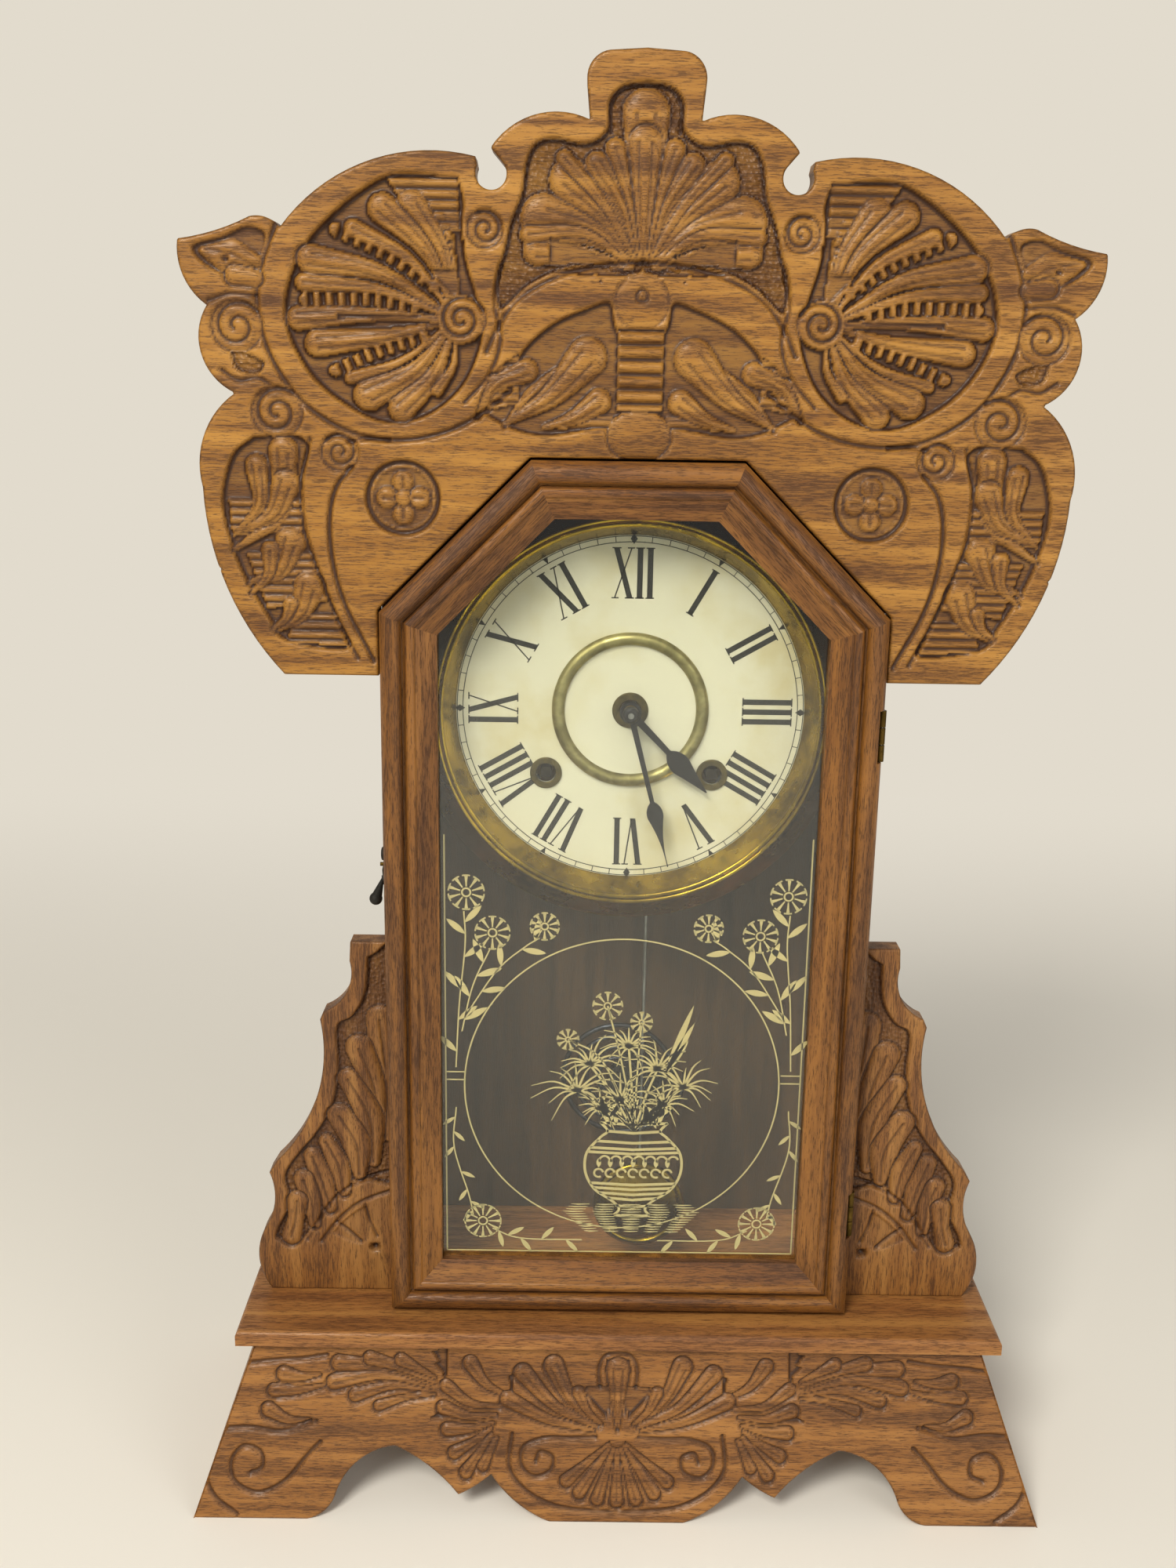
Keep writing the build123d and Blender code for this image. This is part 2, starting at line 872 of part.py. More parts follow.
bezel_y = case_front_y + bezel_front_gap
cone_top = (dial_radius + 4.2, bezel_y + 1.8)
bead_groove = (dial_radius + 6.1, bezel_y + 0.9)
flange_top = (dial_radius + 7.8, bezel_y + 1.6)
with BuildPart() as bezel_ring:
    with BuildSketch(section_plane):
        with BuildLine():
            trace(
                (dial_radius, dial_y),
                [
                    (cone_top,),
                    ((dial_radius + 5.1, bezel_y + 0.1), bead_groove),
                    ((dial_radius + 7.0, bezel_y), flange_top),
                    ((pan_radius - bezel_sheet, pan_y - bezel_sheet),),
                    ((pan_radius, pan_y),),
                    ((pan_radius - 2 * bezel_sheet, pan_y),),
                    ((dial_radius + 7.2, bezel_y + 1.8 + bezel_sheet),),
                    ((dial_radius + 5.2, bezel_y + 1.8 + bezel_sheet),),
                    ((dial_radius + bezel_sheet, dial_y),),
                    ((dial_radius, dial_y),),
                ],
            )
        make_face()
    revolve(axis=dial_axis)
keep(bezel_ring, "bezel_ring")


# Hands and the nut that holds them


def hand(length, lobe, boss, hole, y, angle, piece_name):
    """A blued steel hand with a leaf-shaped lobe, turned clockwise from twelve by angle."""
    at, half = lobe
    with BuildPart() as piece:
        with BuildSketch(front(y + hand_thick)):
            with BuildSketch(mode=Mode.PRIVATE) as blade:
                with BuildLine():
                    trace(
                        (half * 0.38, 0),
                        [
                            ((half * 0.28, at - 2 * half),),
                            ((half * 0.95, at - half), (half, at)),
                            ((half * 0.55, at + 1.6 * half), (0.25, length)),
                            ((0, length),),
                        ],
                    )
                    Line((0, length), (0, 0))
                    Line((0, 0), (half * 0.38, 0))
                make_face()
                mirror(about=Plane.YZ)
                Circle(boss)
                Circle(hole, mode=Mode.SUBTRACT)
            with Locations(Location((0, dial_centre_z, 0), (0, 0, -angle))):
                add(blade.sketch)
        extrude(amount=hand_thick)
    keep(piece, piece_name)


minute_hand_y = dial_y - minute_hand_forward
hour_hand_y = dial_y - hour_hand_forward
hand(
    minute_hand_length, minute_hand_lobe, minute_boss, centre_arbor_radius,
    minute_hand_y, minute_hand_angle, "minute_hand",
)
hand(
    hour_hand_length, hour_hand_lobe, hour_boss, hour_pipe_radius,
    hour_hand_y, hour_hand_angle, "hour_hand",
)
with BuildPart() as hand_nut:
    tube(
        0, dial_centre_z, nut_radius, centre_arbor_radius,
        minute_hand_y - nut_height, minute_hand_y,
    )
    dome = hand_nut.faces().sort_by(Axis.Y)[0].edges().sort_by(SortBy.RADIUS)[-1]
    fillet(dome, nut_radius * 0.45)
keep(hand_nut, "hand_nut")


# Wheel train: places of the arbors, worked out so that each wheel meets its pinion


def meet(a, b, reach_a, reach_b, side):
    """Where circles about a and b cross; side 1 is to the left of the line from a to b."""
    run = hypot(b[0] - a[0], b[1] - a[1])
    ux, uz = (b[0] - a[0]) / run, (b[1] - a[1]) / run
    along = (reach_a ** 2 - reach_b ** 2 + run ** 2) / (2 * run)
    across = side * sqrt(reach_a ** 2 - along ** 2)
    return a[0] + along * ux - across * uz, a[1] + along * uz + across * ux


def aim(a, b):
    """The direction from a to b, as an angle."""
    return atan2(b[1] - a[1], b[0] - a[0])


great_reach = great_module * (great_teeth + pinion_leaves) / 2
equal_reach = equal_module * equal_teeth
second_reach = second_module * (second_teeth + pinion_leaves) / 2
third_reach = third_module * (third_teeth + pinion_leaves) / 2
centre = (0, dial_centre_z)
winding = (winding_side, winding_z)
winding_strike = (-winding_side, winding_z)
second = meet(winding, centre, great_reach, equal_reach, -1)
escape = (pendulum_side, dial_centre_z + escape_above_centre)
third = meet(second, escape, second_reach, third_reach, -1)
verge_at = (pendulum_side, escape[1] + verge_above_escape)
motion_side = radians(motion_angle)
minute_stud = (
    motion_distance * cos(motion_side),
    dial_centre_z + motion_distance * sin(motion_side),
)

# A tooth: height above and depth below the pitch circle in modules, then how much of
# the pitch it fills at its tip and at its root
wheel_tooth = (0.85, 1.0, 0.18, 0.55)
pinion_leaf = (0.7, 1.2, 0.2, 0.5)


def gear(at, teeth, module, toward, y, thick, bore, tooth, gap_first=False):
    """Adds a toothed disc; a tooth, or with gap_first a gap, points toward that angle."""
    above, below, tip_share, root_share = tooth
    pitch_radius = module * teeth / 2
    tip = pitch_radius + above * module
    root = pitch_radius - below * module
    step = 2 * pi / teeth
    corners = []
    for index in range(teeth):
        middle = toward + (index + (0.5 if gap_first else 0)) * step
        for radius, share in (
            (root, -root_share),
            (tip, -tip_share),
            (tip, tip_share),
            (root, root_share),
        ):
            angle = middle + share * step / 2
            corners.append((at[0] + radius * cos(angle), at[1] + radius * sin(angle)))
    with BuildSketch(front(y + thick)) as disc:
        with BuildLine():
            Polyline(*corners, close=True)
        make_face()
        if bore:
            with Locations(at):
                Circle(bore, mode=Mode.SUBTRACT)
    extrude(disc.sketch, amount=thick)


def cross_out(at, rim, hub, spokes, y, thick):
    """Cuts the windows between a wheel's spokes."""
    with BuildSketch(front(y + thick)) as windows:
        with Locations(at):
            Circle(rim)
            Circle(hub, mode=Mode.SUBTRACT)
            with PolarLocations(0, spokes):
                with Locations((rim / 2, 0)):
                    Rectangle(rim, spoke_width, mode=Mode.SUBTRACT)
    extrude(windows.sketch, amount=thick, mode=Mode.SUBTRACT)


def spoked_wheel(at, teeth, module, toward, y, bore, gap_first=False):
    """Adds a brass wheel with five spokes."""
    gear(at, teeth, module, toward, y, wheel_thick, bore, wheel_tooth, gap_first)
    rim = module * (teeth / 2 - wheel_tooth[1]) - spoke_width
    cross_out(at, rim, hub_radius, 5, y, wheel_thick)


def between(share, thick=wheel_thick):
    """The front of a wheel whose middle stands at that share of the space between plates."""
    return gap_front_y + share * plate_gap - thick / 2


def plain_arbor(at, radius):
    """Adds an arbor between the plates with a pivot in each."""
    rod(*at, radius, gap_front_y + arbor_end_gap, gap_back_y - arbor_end_gap)
    rod(*at, pivot_radius, front_plate_y, gap_back_y + plate_thick)


great_y = between(0.2)
second_y = between(0.36)
third_y = between(0.5)
equal_y = between(0.07)
escape_y = between(0.1)
spring_low = gap_front_y + 0.46 * plate_gap
spring_high = gap_front_y + 0.92 * plate_gap


def pinion_at(at, module, toward, wheel_y):
    """Adds a six-leaved pinion centred on the wheel that drives it."""
    y = wheel_y + wheel_thick / 2 - pinion_thick / 2
    gear(at, pinion_leaves, module, toward, y, pinion_thick, 0, pinion_leaf, gap_first=True)


# Plates and pillars
pillars = [
    (side * (plate_half_width - pillar_inset), dial_centre_z + level)
    for side in (1, -1)
    for level in (plate_above_centre - pillar_inset, -plate_below_centre + pillar_inset)
]
pivots = [second, third, escape, verge_at]
wide_pivots = [winding, winding_strike]


def plate(y):
    """Adds one plate with its pivot holes and two windows."""
    with BuildSketch(front(y + plate_thick)) as sheet:
        middle_z = dial_centre_z + (plate_above_centre - plate_below_centre) / 2
        with Locations((0, middle_z)):
            RectangleRounded(
                2 * plate_half_width,
                plate_above_centre + plate_below_centre,
                2 * pillar_radius,
            )
        with Locations(*pivots):
            Circle(pivot_radius + pivot_gap, mode=Mode.SUBTRACT)
        with Locations(centre):
            Circle(centre_arbor_radius + pivot_gap, mode=Mode.SUBTRACT)
        with Locations(*wide_pivots):
            Circle(winding_arbor_radius + pivot_gap, mode=Mode.SUBTRACT)
        window = plate_half_width / 2 - window_rim / 2
        window_z = dial_centre_z + plate_above_centre / 2
        with Locations(
            (plate_half_width - window_rim - window / 2, window_z + window_rim / 2),
            (-plate_half_width + window_rim + window / 2, window_z + window_rim / 2),
        ):
            RectangleRounded(
                window, plate_above_centre - 2.5 * window_rim, pillar_radius, mode=Mode.SUBTRACT
            )
    extrude(sheet.sketch, amount=plate_thick)


with BuildPart() as front_plate:
    plate(front_plate_y)
keep(front_plate, "front_plate")

with BuildPart() as back_plate:
    plate(gap_back_y)
keep(back_plate, "back_plate")

with BuildPart() as plate_pillars:
    for at in pillars:
        rod(*at, pillar_radius, gap_front_y, gap_back_y)
keep(plate_pillars, "plate_pillars")

with BuildPart() as movement_blocks:
    for side in (1, -1):
        x = sorted((side * (plate_half_width - 2 * pillar_inset), side * plate_half_width))
        block(
            x,
            (gap_back_y + plate_thick, back_board_y),
            (dial_centre_z - plate_below_centre, dial_centre_z + plate_above_centre),
        )
keep(movement_blocks, "movement_blocks")

# Great wheels, their winding arbors and their open mainsprings
for side, name, at in ((1, "time", winding), (-1, "strike", winding_strike)):
    ratchet_y = great_y + wheel_thick
    with BuildPart() as great_wheel:
        toward = aim(winding, second) if side == 1 else 0
        spoked_wheel(at, great_teeth, great_module, toward, great_y, winding_arbor_radius + pivot_gap)
        rod(*at, hub_radius + 2, great_y, great_y + wheel_thick)
        rod(*at, winding_arbor_radius + pivot_gap, great_y, ratchet_y, Mode.SUBTRACT)
    keep(great_wheel, f"{name}_great_wheel")

    with BuildPart() as winding_arbor:
        rod(*at, winding_arbor_radius, front_plate_y, gap_back_y + plate_thick)
        with BuildSketch(front(front_plate_y)):
            with Locations(at):
                Rectangle(winding_square, winding_square)
        extrude(amount=front_plate_y - dial_y - pan_thick - paper_thick)
        with BuildSketch(front(ratchet_y + arbor_end_gap + wheel_thick)):
            with BuildLine():
                corners = []
                for index in range(ratchet_teeth):
                    low = 2 * pi * index / ratchet_teeth
                    for radius in (ratchet_radius - ratchet_depth, ratchet_radius):
                        corners.append((at[0] + radius * cos(low), at[1] + radius * sin(low)))
                Polyline(*corners, close=True)
            make_face()
        extrude(amount=wheel_thick)
    keep(winding_arbor, f"{name}_winding_arbor")

spring_inner = winding_arbor_radius + spring_seat_gap
pillar_side = plate_half_width - pillar_inset
spring_outer = pillar_side + pillar_radius + spring_seat_gap - winding_side
spring_pitch = (spring_outer - spring_inner) / spring_turns
pillar_foot_z = dial_centre_z - plate_below_centre + pillar_inset


def spiral(inner, pitch, turns, way):
    """Draws a flat spiral of half circles about the origin, anticlockwise if way is 1."""
    for turn in range(turns):
        radius = inner + turn * pitch
        CenterArc((0, 0), radius, 0, way * 180)
        CenterArc((pitch / 2, 0), radius + pitch / 2, 180, way * 180)


with BuildPart() as time_spring:
    with BuildSketch(front(spring_high)) as strip:
        with BuildLine():
            spiral(spring_inner, spring_pitch, spring_turns, -1)
            spiral(spring_inner + spring_strip, spring_pitch, spring_turns, -1)
            Line((spring_inner, 0), (spring_inner + spring_strip, 0))
            tail = pillar_foot_z - winding_z
            Polyline(
                (spring_outer, 0),
                (spring_outer, tail),
                (spring_outer + spring_strip, tail),
                (spring_outer + spring_strip, 0),
            )
        make_face()
    placed = strip.sketch.moved(Location((winding_side, 0, winding_z)))
    extrude(placed, amount=spring_high - spring_low)
with BuildPart() as mainsprings:
    add(time_spring.part)
    mirror(about=Plane.YZ)
keep(mainsprings, "mainsprings")
print("mainspring: least gap to itself", round(spring_pitch - spring_strip, 2), "mm")

# Second arbor: pinion driven by the great wheel, its own wheel, and one of two equal wheels
equal_bore = centre_arbor_radius + pivot_gap
with BuildPart() as second_wheel:
    plain_arbor(second, arbor_radius)
    pinion_at(second, great_module, aim(second, winding), great_y)
    spoked_wheel(second, second_teeth, second_module, aim(second, third), second_y, 0)
    gear(
        second, equal_teeth, equal_module, aim(second, centre), equal_y,
        wheel_thick, 0, wheel_tooth,
    )
keep(second_wheel, "second_wheel")

with BuildPart() as centre_wheel:
    gear(
        centre, equal_teeth, equal_module, aim(centre, second), equal_y,
        wheel_thick, equal_bore, wheel_tooth, gap_first=True,
    )
keep(centre_wheel, "centre_wheel")

with BuildPart() as third_wheel:
    plain_arbor(third, arbor_radius)
    pinion_at(third, second_module, aim(third, second), second_y)
    spoked_wheel(third, third_teeth, third_module, aim(third, escape), third_y, 0)
keep(third_wheel, "third_wheel")

pallet_lean = pi * pallet_span / escape_teeth
gap_middle = (1 + escape_tooth_share) / 2
with BuildPart() as escape_wheel:
    plain_arbor(escape, arbor_radius)
    pinion_at(escape, third_module, aim(escape, third), third_y)
    with BuildSketch(front(escape_y + wheel_thick)):
        with BuildLine():
            corners = []
            for index in range(escape_teeth):
                angle = pi / 2 - pallet_lean + 2 * pi * (index - gap_middle) / escape_teeth
                for radius, turn in (
                    (escape_radius - escape_tooth, 0),
                    (escape_radius, 0),
                    (escape_radius - escape_tooth, escape_tooth_share),
                ):
                    lean = angle + turn * 2 * pi / escape_teeth
                    corners.append(
                        (escape[0] + radius * cos(lean), escape[1] + radius * sin(lean))
                    )
            Polyline(*corners, close=True)
        make_face()
    extrude(amount=wheel_thick)
    cross_out(
        escape, escape_radius - escape_tooth - spoke_width, hub_radius, 4, escape_y, wheel_thick
    )
keep(escape_wheel, "escape_wheel")

# Centre arbor: carries the minute hand, and turns in the pipe of the hour wheel
motion_y = front_plate_y - motion_front_gap - motion_wheel_thick
hour_y = motion_y - motion_front_gap / 2 - motion_wheel_thick
minute_module = 2 * motion_distance / (cannon_leaves + minute_wheel_teeth)
hour_module = 2 * motion_distance / (minute_pinion_leaves + hour_wheel_teeth)
with BuildPart() as centre_arbor:
    rod(*centre, centre_arbor_radius, minute_hand_y - nut_height, gap_back_y + plate_thick)
    rod(*centre, cannon_radius, minute_hand_y + hand_thick, motion_y)
    gear(
        centre, cannon_leaves, minute_module, aim(centre, minute_stud), motion_y,
        motion_wheel_thick, 0, wheel_tooth,
    )
keep(centre_arbor, "centre_arbor")

with BuildPart() as minute_wheel:
    bore = pivot_radius + 2 * pivot_gap + pivot_radius
    gear(
        minute_stud, minute_wheel_teeth, minute_module, aim(minute_stud, centre), motion_y,
        motion_wheel_thick, bore, wheel_tooth, gap_first=True,
    )
    gear(
        minute_stud, minute_pinion_leaves, hour_module, aim(minute_stud, centre), hour_y,
        motion_y - hour_y, bore, wheel_tooth,
    )
keep(minute_wheel, "minute_wheel")

with BuildPart() as minute_post:
    rod(*minute_stud, 2 * pivot_radius, hour_y - motion_front_gap, front_plate_y)
keep(minute_post, "minute_post")

with BuildPart() as hour_wheel:
    gear(
        centre, hour_wheel_teeth, hour_module, aim(centre, minute_stud), hour_y,
        motion_wheel_thick, cannon_radius + pipe_gap, wheel_tooth, gap_first=True,
    )
    tube(*centre, hour_pipe_radius, cannon_radius + pipe_gap, hour_hand_y, hour_y)
keep(hour_wheel, "hour_wheel")

# Verge: an arbor with two pallets over the escape wheel and a crutch in front of the plate
crutch_y = front_plate_y - crutch_forward
pendulum_y = front_plate_y - pendulum_forward
with BuildPart() as verge:
    rod(*verge_at, arbor_radius, gap_front_y + arbor_end_gap, gap_back_y - arbor_end_gap)
    rod(*verge_at, pivot_radius, crutch_y - crutch_radius, gap_back_y + plate_thick)
    low_y = escape_y + wheel_thick / 2 - pallet_width / 2
    for side in (1, -1):
        knee, toe = (
            (escape[0] + side * radius * sin(pallet_lean), escape[1] + radius * cos(pallet_lean))
            for radius in (
                escape_radius + pallet_gap + 2 * pallet_arm,
                escape_radius + pallet_gap,
            )
        )
        bar(verge_at, knee, pallet_arm, low_y, low_y + pallet_width)
        bar(knee, toe, pallet_arm, low_y, low_y + pallet_width)
        rod(*knee, pallet_arm / 2, low_y, low_y + pallet_width)
    foot_z = verge_at[1] - crutch_length
    with BuildSketch(Plane.XY.offset(foot_z)):
        with Locations((verge_at[0], crutch_y)):
            Circle(crutch_radius)
    extrude(amount=crutch_length)
    slot = pendulum_rod_radius + crutch_slot_gap
    for side in (1, -1):
        x = sorted((verge_at[0] + side * slot, verge_at[0] + side * (slot + 2 * crutch_radius)))
        block(x, (pendulum_y - slot, crutch_y + crutch_radius), (foot_z, foot_z + 2 * crutch_radius))
    block(
        (verge_at[0] - slot, verge_at[0] + slot),
        (crutch_y - crutch_radius, crutch_y + crutch_radius),
        (foot_z, foot_z + 2 * crutch_radius),
    )
keep(verge, "verge")

# Pendulum: a strip spring held in a slotted post, a wire rod and a brass bob
post_foot_z = verge_at[1] + suspension_above_pivot
strip_top_z = post_foot_z + suspension_grip
with BuildPart() as suspension_stud:
    rod(
        pendulum_side, post_foot_z + suspension_post, suspension_post,
        pendulum_y - suspension_post, front_plate_y,
    )
    slit = suspension_strip / 2 + suspension_gap
    block(
        (pendulum_side - slit, pendulum_side + slit),
        (pendulum_y - suspension_post, pendulum_y + suspension_width / 2 + suspension_gap),
        (verge_at[1], strip_top_z + suspension_gap),
        Mode.SUBTRACT,
    )
keep(suspension_stud, "suspension_stud")

bob_z = shelf_top_z + bob_above_shelf + bob_radius
rod_end_z = bob_z + bob_radius
with BuildPart() as pendulum_rod:
    strip_foot_z = verge_at[1] - suspension_drop
    block(
        (pendulum_side - suspension_strip / 2, pendulum_side + suspension_strip / 2),
        (pendulum_y - suspension_width / 2, pendulum_y + suspension_width / 2),
        (strip_foot_z, strip_top_z),
    )
    with BuildSketch(Plane.XY.offset(rod_end_z)):
        with Locations((pendulum_side, pendulum_y)):
            Circle(pendulum_rod_radius)
    extrude(amount=strip_foot_z - rod_end_z + suspension_grip)
keep(pendulum_rod, "pendulum_rod")

with BuildPart() as pendulum_bob:
    bob_plane = Plane(origin=(pendulum_side, 0, bob_z), x_dir=(1, 0, 0), z_dir=(0, 0, 1))
    half = bob_thick / 2
    with BuildSketch(bob_plane):
        with BuildLine():
            trace(
                (0, pendulum_y - half),
                [
                    (
                        (bob_radius / 2, pendulum_y - half * 0.9),
                        (bob_radius - bob_rim, pendulum_y - half * 0.45),
                    ),
                    ((bob_radius - bob_rim / 2, pendulum_y - half * 0.8), (bob_radius, pendulum_y)),
                    ((bob_radius - bob_rim / 2, pendulum_y + half * 0.4),),
                    ((0, pendulum_y + half * 0.6),),
                    ((0, pendulum_y - half),),
                ],
            )
        make_face()
    revolve(axis=Axis((pendulum_side, 0, bob_z), (0, 1, 0)))
    with BuildSketch(Plane.XY.offset(bob_z + bob_radius - bob_rim)):
        with Locations((pendulum_side, pendulum_y)):
            Circle(bob_collar)
    extrude(amount=bob_rim + bob_collar_height)
    with BuildSketch(Plane.XY.offset(rod_end_z)):
        with Locations((pendulum_side, pendulum_y)):
            Circle(pendulum_rod_radius)
    extrude(amount=2 * bob_collar_height, mode=Mode.SUBTRACT)
keep(pendulum_bob, "pendulum_bob")

# Gong: a flat coil of wire whose inner end is set in a cast post on the back board
gong_z = shelf_top_z + gong_above_shelf
gong_y = back_board_y - gong_off_board
with BuildPart() as gong_coil:
    with BuildLine(Plane(origin=(0, gong_y, gong_z), x_dir=(1, 0, 0), z_dir=(0, -1, 0))):
        Line((gong_inner, -2 * gong_wire), (gong_inner, 0))
        spiral(gong_inner, gong_pitch, gong_turns, 1)
        outer_x = gong_inner + gong_turns * gong_pitch
        Line((outer_x, 0), (outer_x, 2 * gong_wire))
    with BuildSketch(Plane(origin=(gong_inner, gong_y, gong_z - 2 * gong_wire), z_dir=(0, 0, 1))):
        Circle(gong_wire)
    sweep()
keep(gong_coil, "gong_coil")
print("gong: least gap to itself", round(gong_pitch - 2 * gong_wire, 2), "mm")

with BuildPart() as gong_post:
    top_z = gong_z - 2 * gong_wire
    rod(gong_inner, top_z - gong_block / 2, gong_flange, back_board_y - gong_flange_thick, back_board_y)
    block(
        (gong_inner - gong_block / 2, gong_inner + gong_block / 2),
        (gong_y - gong_wire, back_board_y),
        (top_z - gong_block, top_z),
    )
keep(gong_post, "gong_post")
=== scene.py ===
"""A carved oak shelf clock: carving, finishes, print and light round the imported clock.
Lengths are in mm until a mesh is made."""
import math

import bpy
import numpy as np
from mathutils import Matrix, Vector
from mathutils.geometry import tessellate_polygon


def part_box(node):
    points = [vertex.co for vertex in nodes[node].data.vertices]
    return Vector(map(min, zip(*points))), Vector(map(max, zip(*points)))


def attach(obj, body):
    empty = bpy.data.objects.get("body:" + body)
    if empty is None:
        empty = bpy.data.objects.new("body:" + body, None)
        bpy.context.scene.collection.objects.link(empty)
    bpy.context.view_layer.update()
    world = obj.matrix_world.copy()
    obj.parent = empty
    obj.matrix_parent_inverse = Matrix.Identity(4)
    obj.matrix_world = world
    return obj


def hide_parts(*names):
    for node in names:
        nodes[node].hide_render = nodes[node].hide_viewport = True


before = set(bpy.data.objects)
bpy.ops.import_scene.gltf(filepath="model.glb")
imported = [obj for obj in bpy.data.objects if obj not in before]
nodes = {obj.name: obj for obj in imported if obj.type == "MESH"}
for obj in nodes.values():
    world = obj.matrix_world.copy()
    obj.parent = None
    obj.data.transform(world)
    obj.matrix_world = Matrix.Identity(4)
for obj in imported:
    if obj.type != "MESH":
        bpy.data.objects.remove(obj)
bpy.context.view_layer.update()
MM = 0.001


# Camera, light and floor

CAMERA_PLACE = (-20.48, -601.44, 459.97)
CAMERA_YAW, CAMERA_PITCH, CAMERA_ROLL = 0.0068, 0.2572, -0.0165
CAMERA_LENS = 35.10


def place_camera():
    """A camera turned by a yaw about up, a pitch below level and a roll about its own axis."""
    yaw, pitch, roll = CAMERA_YAW, CAMERA_PITCH, CAMERA_ROLL
    ahead = np.array([math.sin(yaw) * math.cos(pitch), math.cos(yaw) * math.cos(pitch), -math.sin(pitch)])
    right = np.array([math.cos(yaw), -math.sin(yaw), 0.0])
    down = np.cross(ahead, right)
    across = math.cos(roll) * right + math.sin(roll) * down
    below = -math.sin(roll) * right + math.cos(roll) * down
    lens = bpy.data.cameras.new("camera")
    lens.sensor_fit = "VERTICAL"
    lens.sensor_height = 36.0
    lens.lens = CAMERA_LENS
    lens.clip_start = 0.01
    camera = bpy.data.objects.new("camera", lens)
    matrix = np.eye(4)
    matrix[:3, 0], matrix[:3, 1], matrix[:3, 2] = across, -below, -ahead
    matrix[:3, 3] = np.array(CAMERA_PLACE) * MM
    camera.matrix_world = Matrix(matrix.tolist())
    bpy.context.scene.collection.objects.link(camera)
    bpy.context.scene.camera = camera


def place_lamp(name, place, target, size, power, colour):
    """A square area lamp at a place in metres, its face turned to the target."""
    lamp = bpy.data.lights.new(name, "AREA")
    lamp.size = size
    lamp.energy = power
    lamp.color = colour
    holder = bpy.data.objects.new(name, lamp)
    holder.location = place
    aim = holder.location.copy()
    aim.x, aim.y, aim.z = (target[i] - place[i] for i in range(3))
    holder.rotation_euler = aim.to_track_quat("-Z", "Y").to_euler()
    bpy.context.scene.collection.objects.link(holder)


def linear(code):
    """An sRGB hex colour as the linear numbers that a shader takes."""
    parts = [int(code[i:i + 2], 16) / 255 for i in (1, 3, 5)]
    return tuple(c / 12.92 if c <= 0.04045 else ((c + 0.055) / 1.055) ** 2.4 for c in parts) + (1.0,)


def add(tree, kind, inputs=None, stops=None, **settings):
    """One node with its settings, a ramp's stops, and each input given a value or another node's output."""
    node = tree.nodes.new(kind)
    for key, value in settings.items():
        setattr(node, key, value)
    for key, value in (inputs or {}).items():
        if isinstance(value, bpy.types.NodeSocket):
            tree.links.new(value, node.inputs[key])
        else:
            node.inputs[key].default_value = value
    if stops:
        ramp = node.color_ramp.elements
        while len(ramp) < len(stops):
            ramp.new(0.5)
        for element, (place, colour) in zip(ramp, stops):
            element.position = place
            element.color = colour
    return node


def surface(name, colour, roughness, metallic=0.0, coat=0.0, **inputs):
    """A material of one principled shader with the constants on its own sockets, with its tree and shader."""
    material = bpy.data.materials.new(name)
    material.use_nodes = True
    tree = material.node_tree
    shader = tree.nodes["Principled BSDF"]
    shader.inputs["Base Color"].default_value = linear(colour)
    shader.inputs["Roughness"].default_value = roughness
    shader.inputs["Metallic"].default_value = metallic
    shader.inputs["Coat Weight"].default_value = coat
    for key, value in inputs.items():
        shader.inputs[key.replace("_", " ")].default_value = value
    return material, tree, shader


def grey(value):
    """A grey for a ramp's stop."""
    return (value, value, value, 1.0)


# Materials

RING_LENGTH, RING_PITCH = 110.0, 7.5
PORE_LENGTH, PORE_WIDTH = 5.6, 0.46
PUNCH_PER_METRE = 560.0


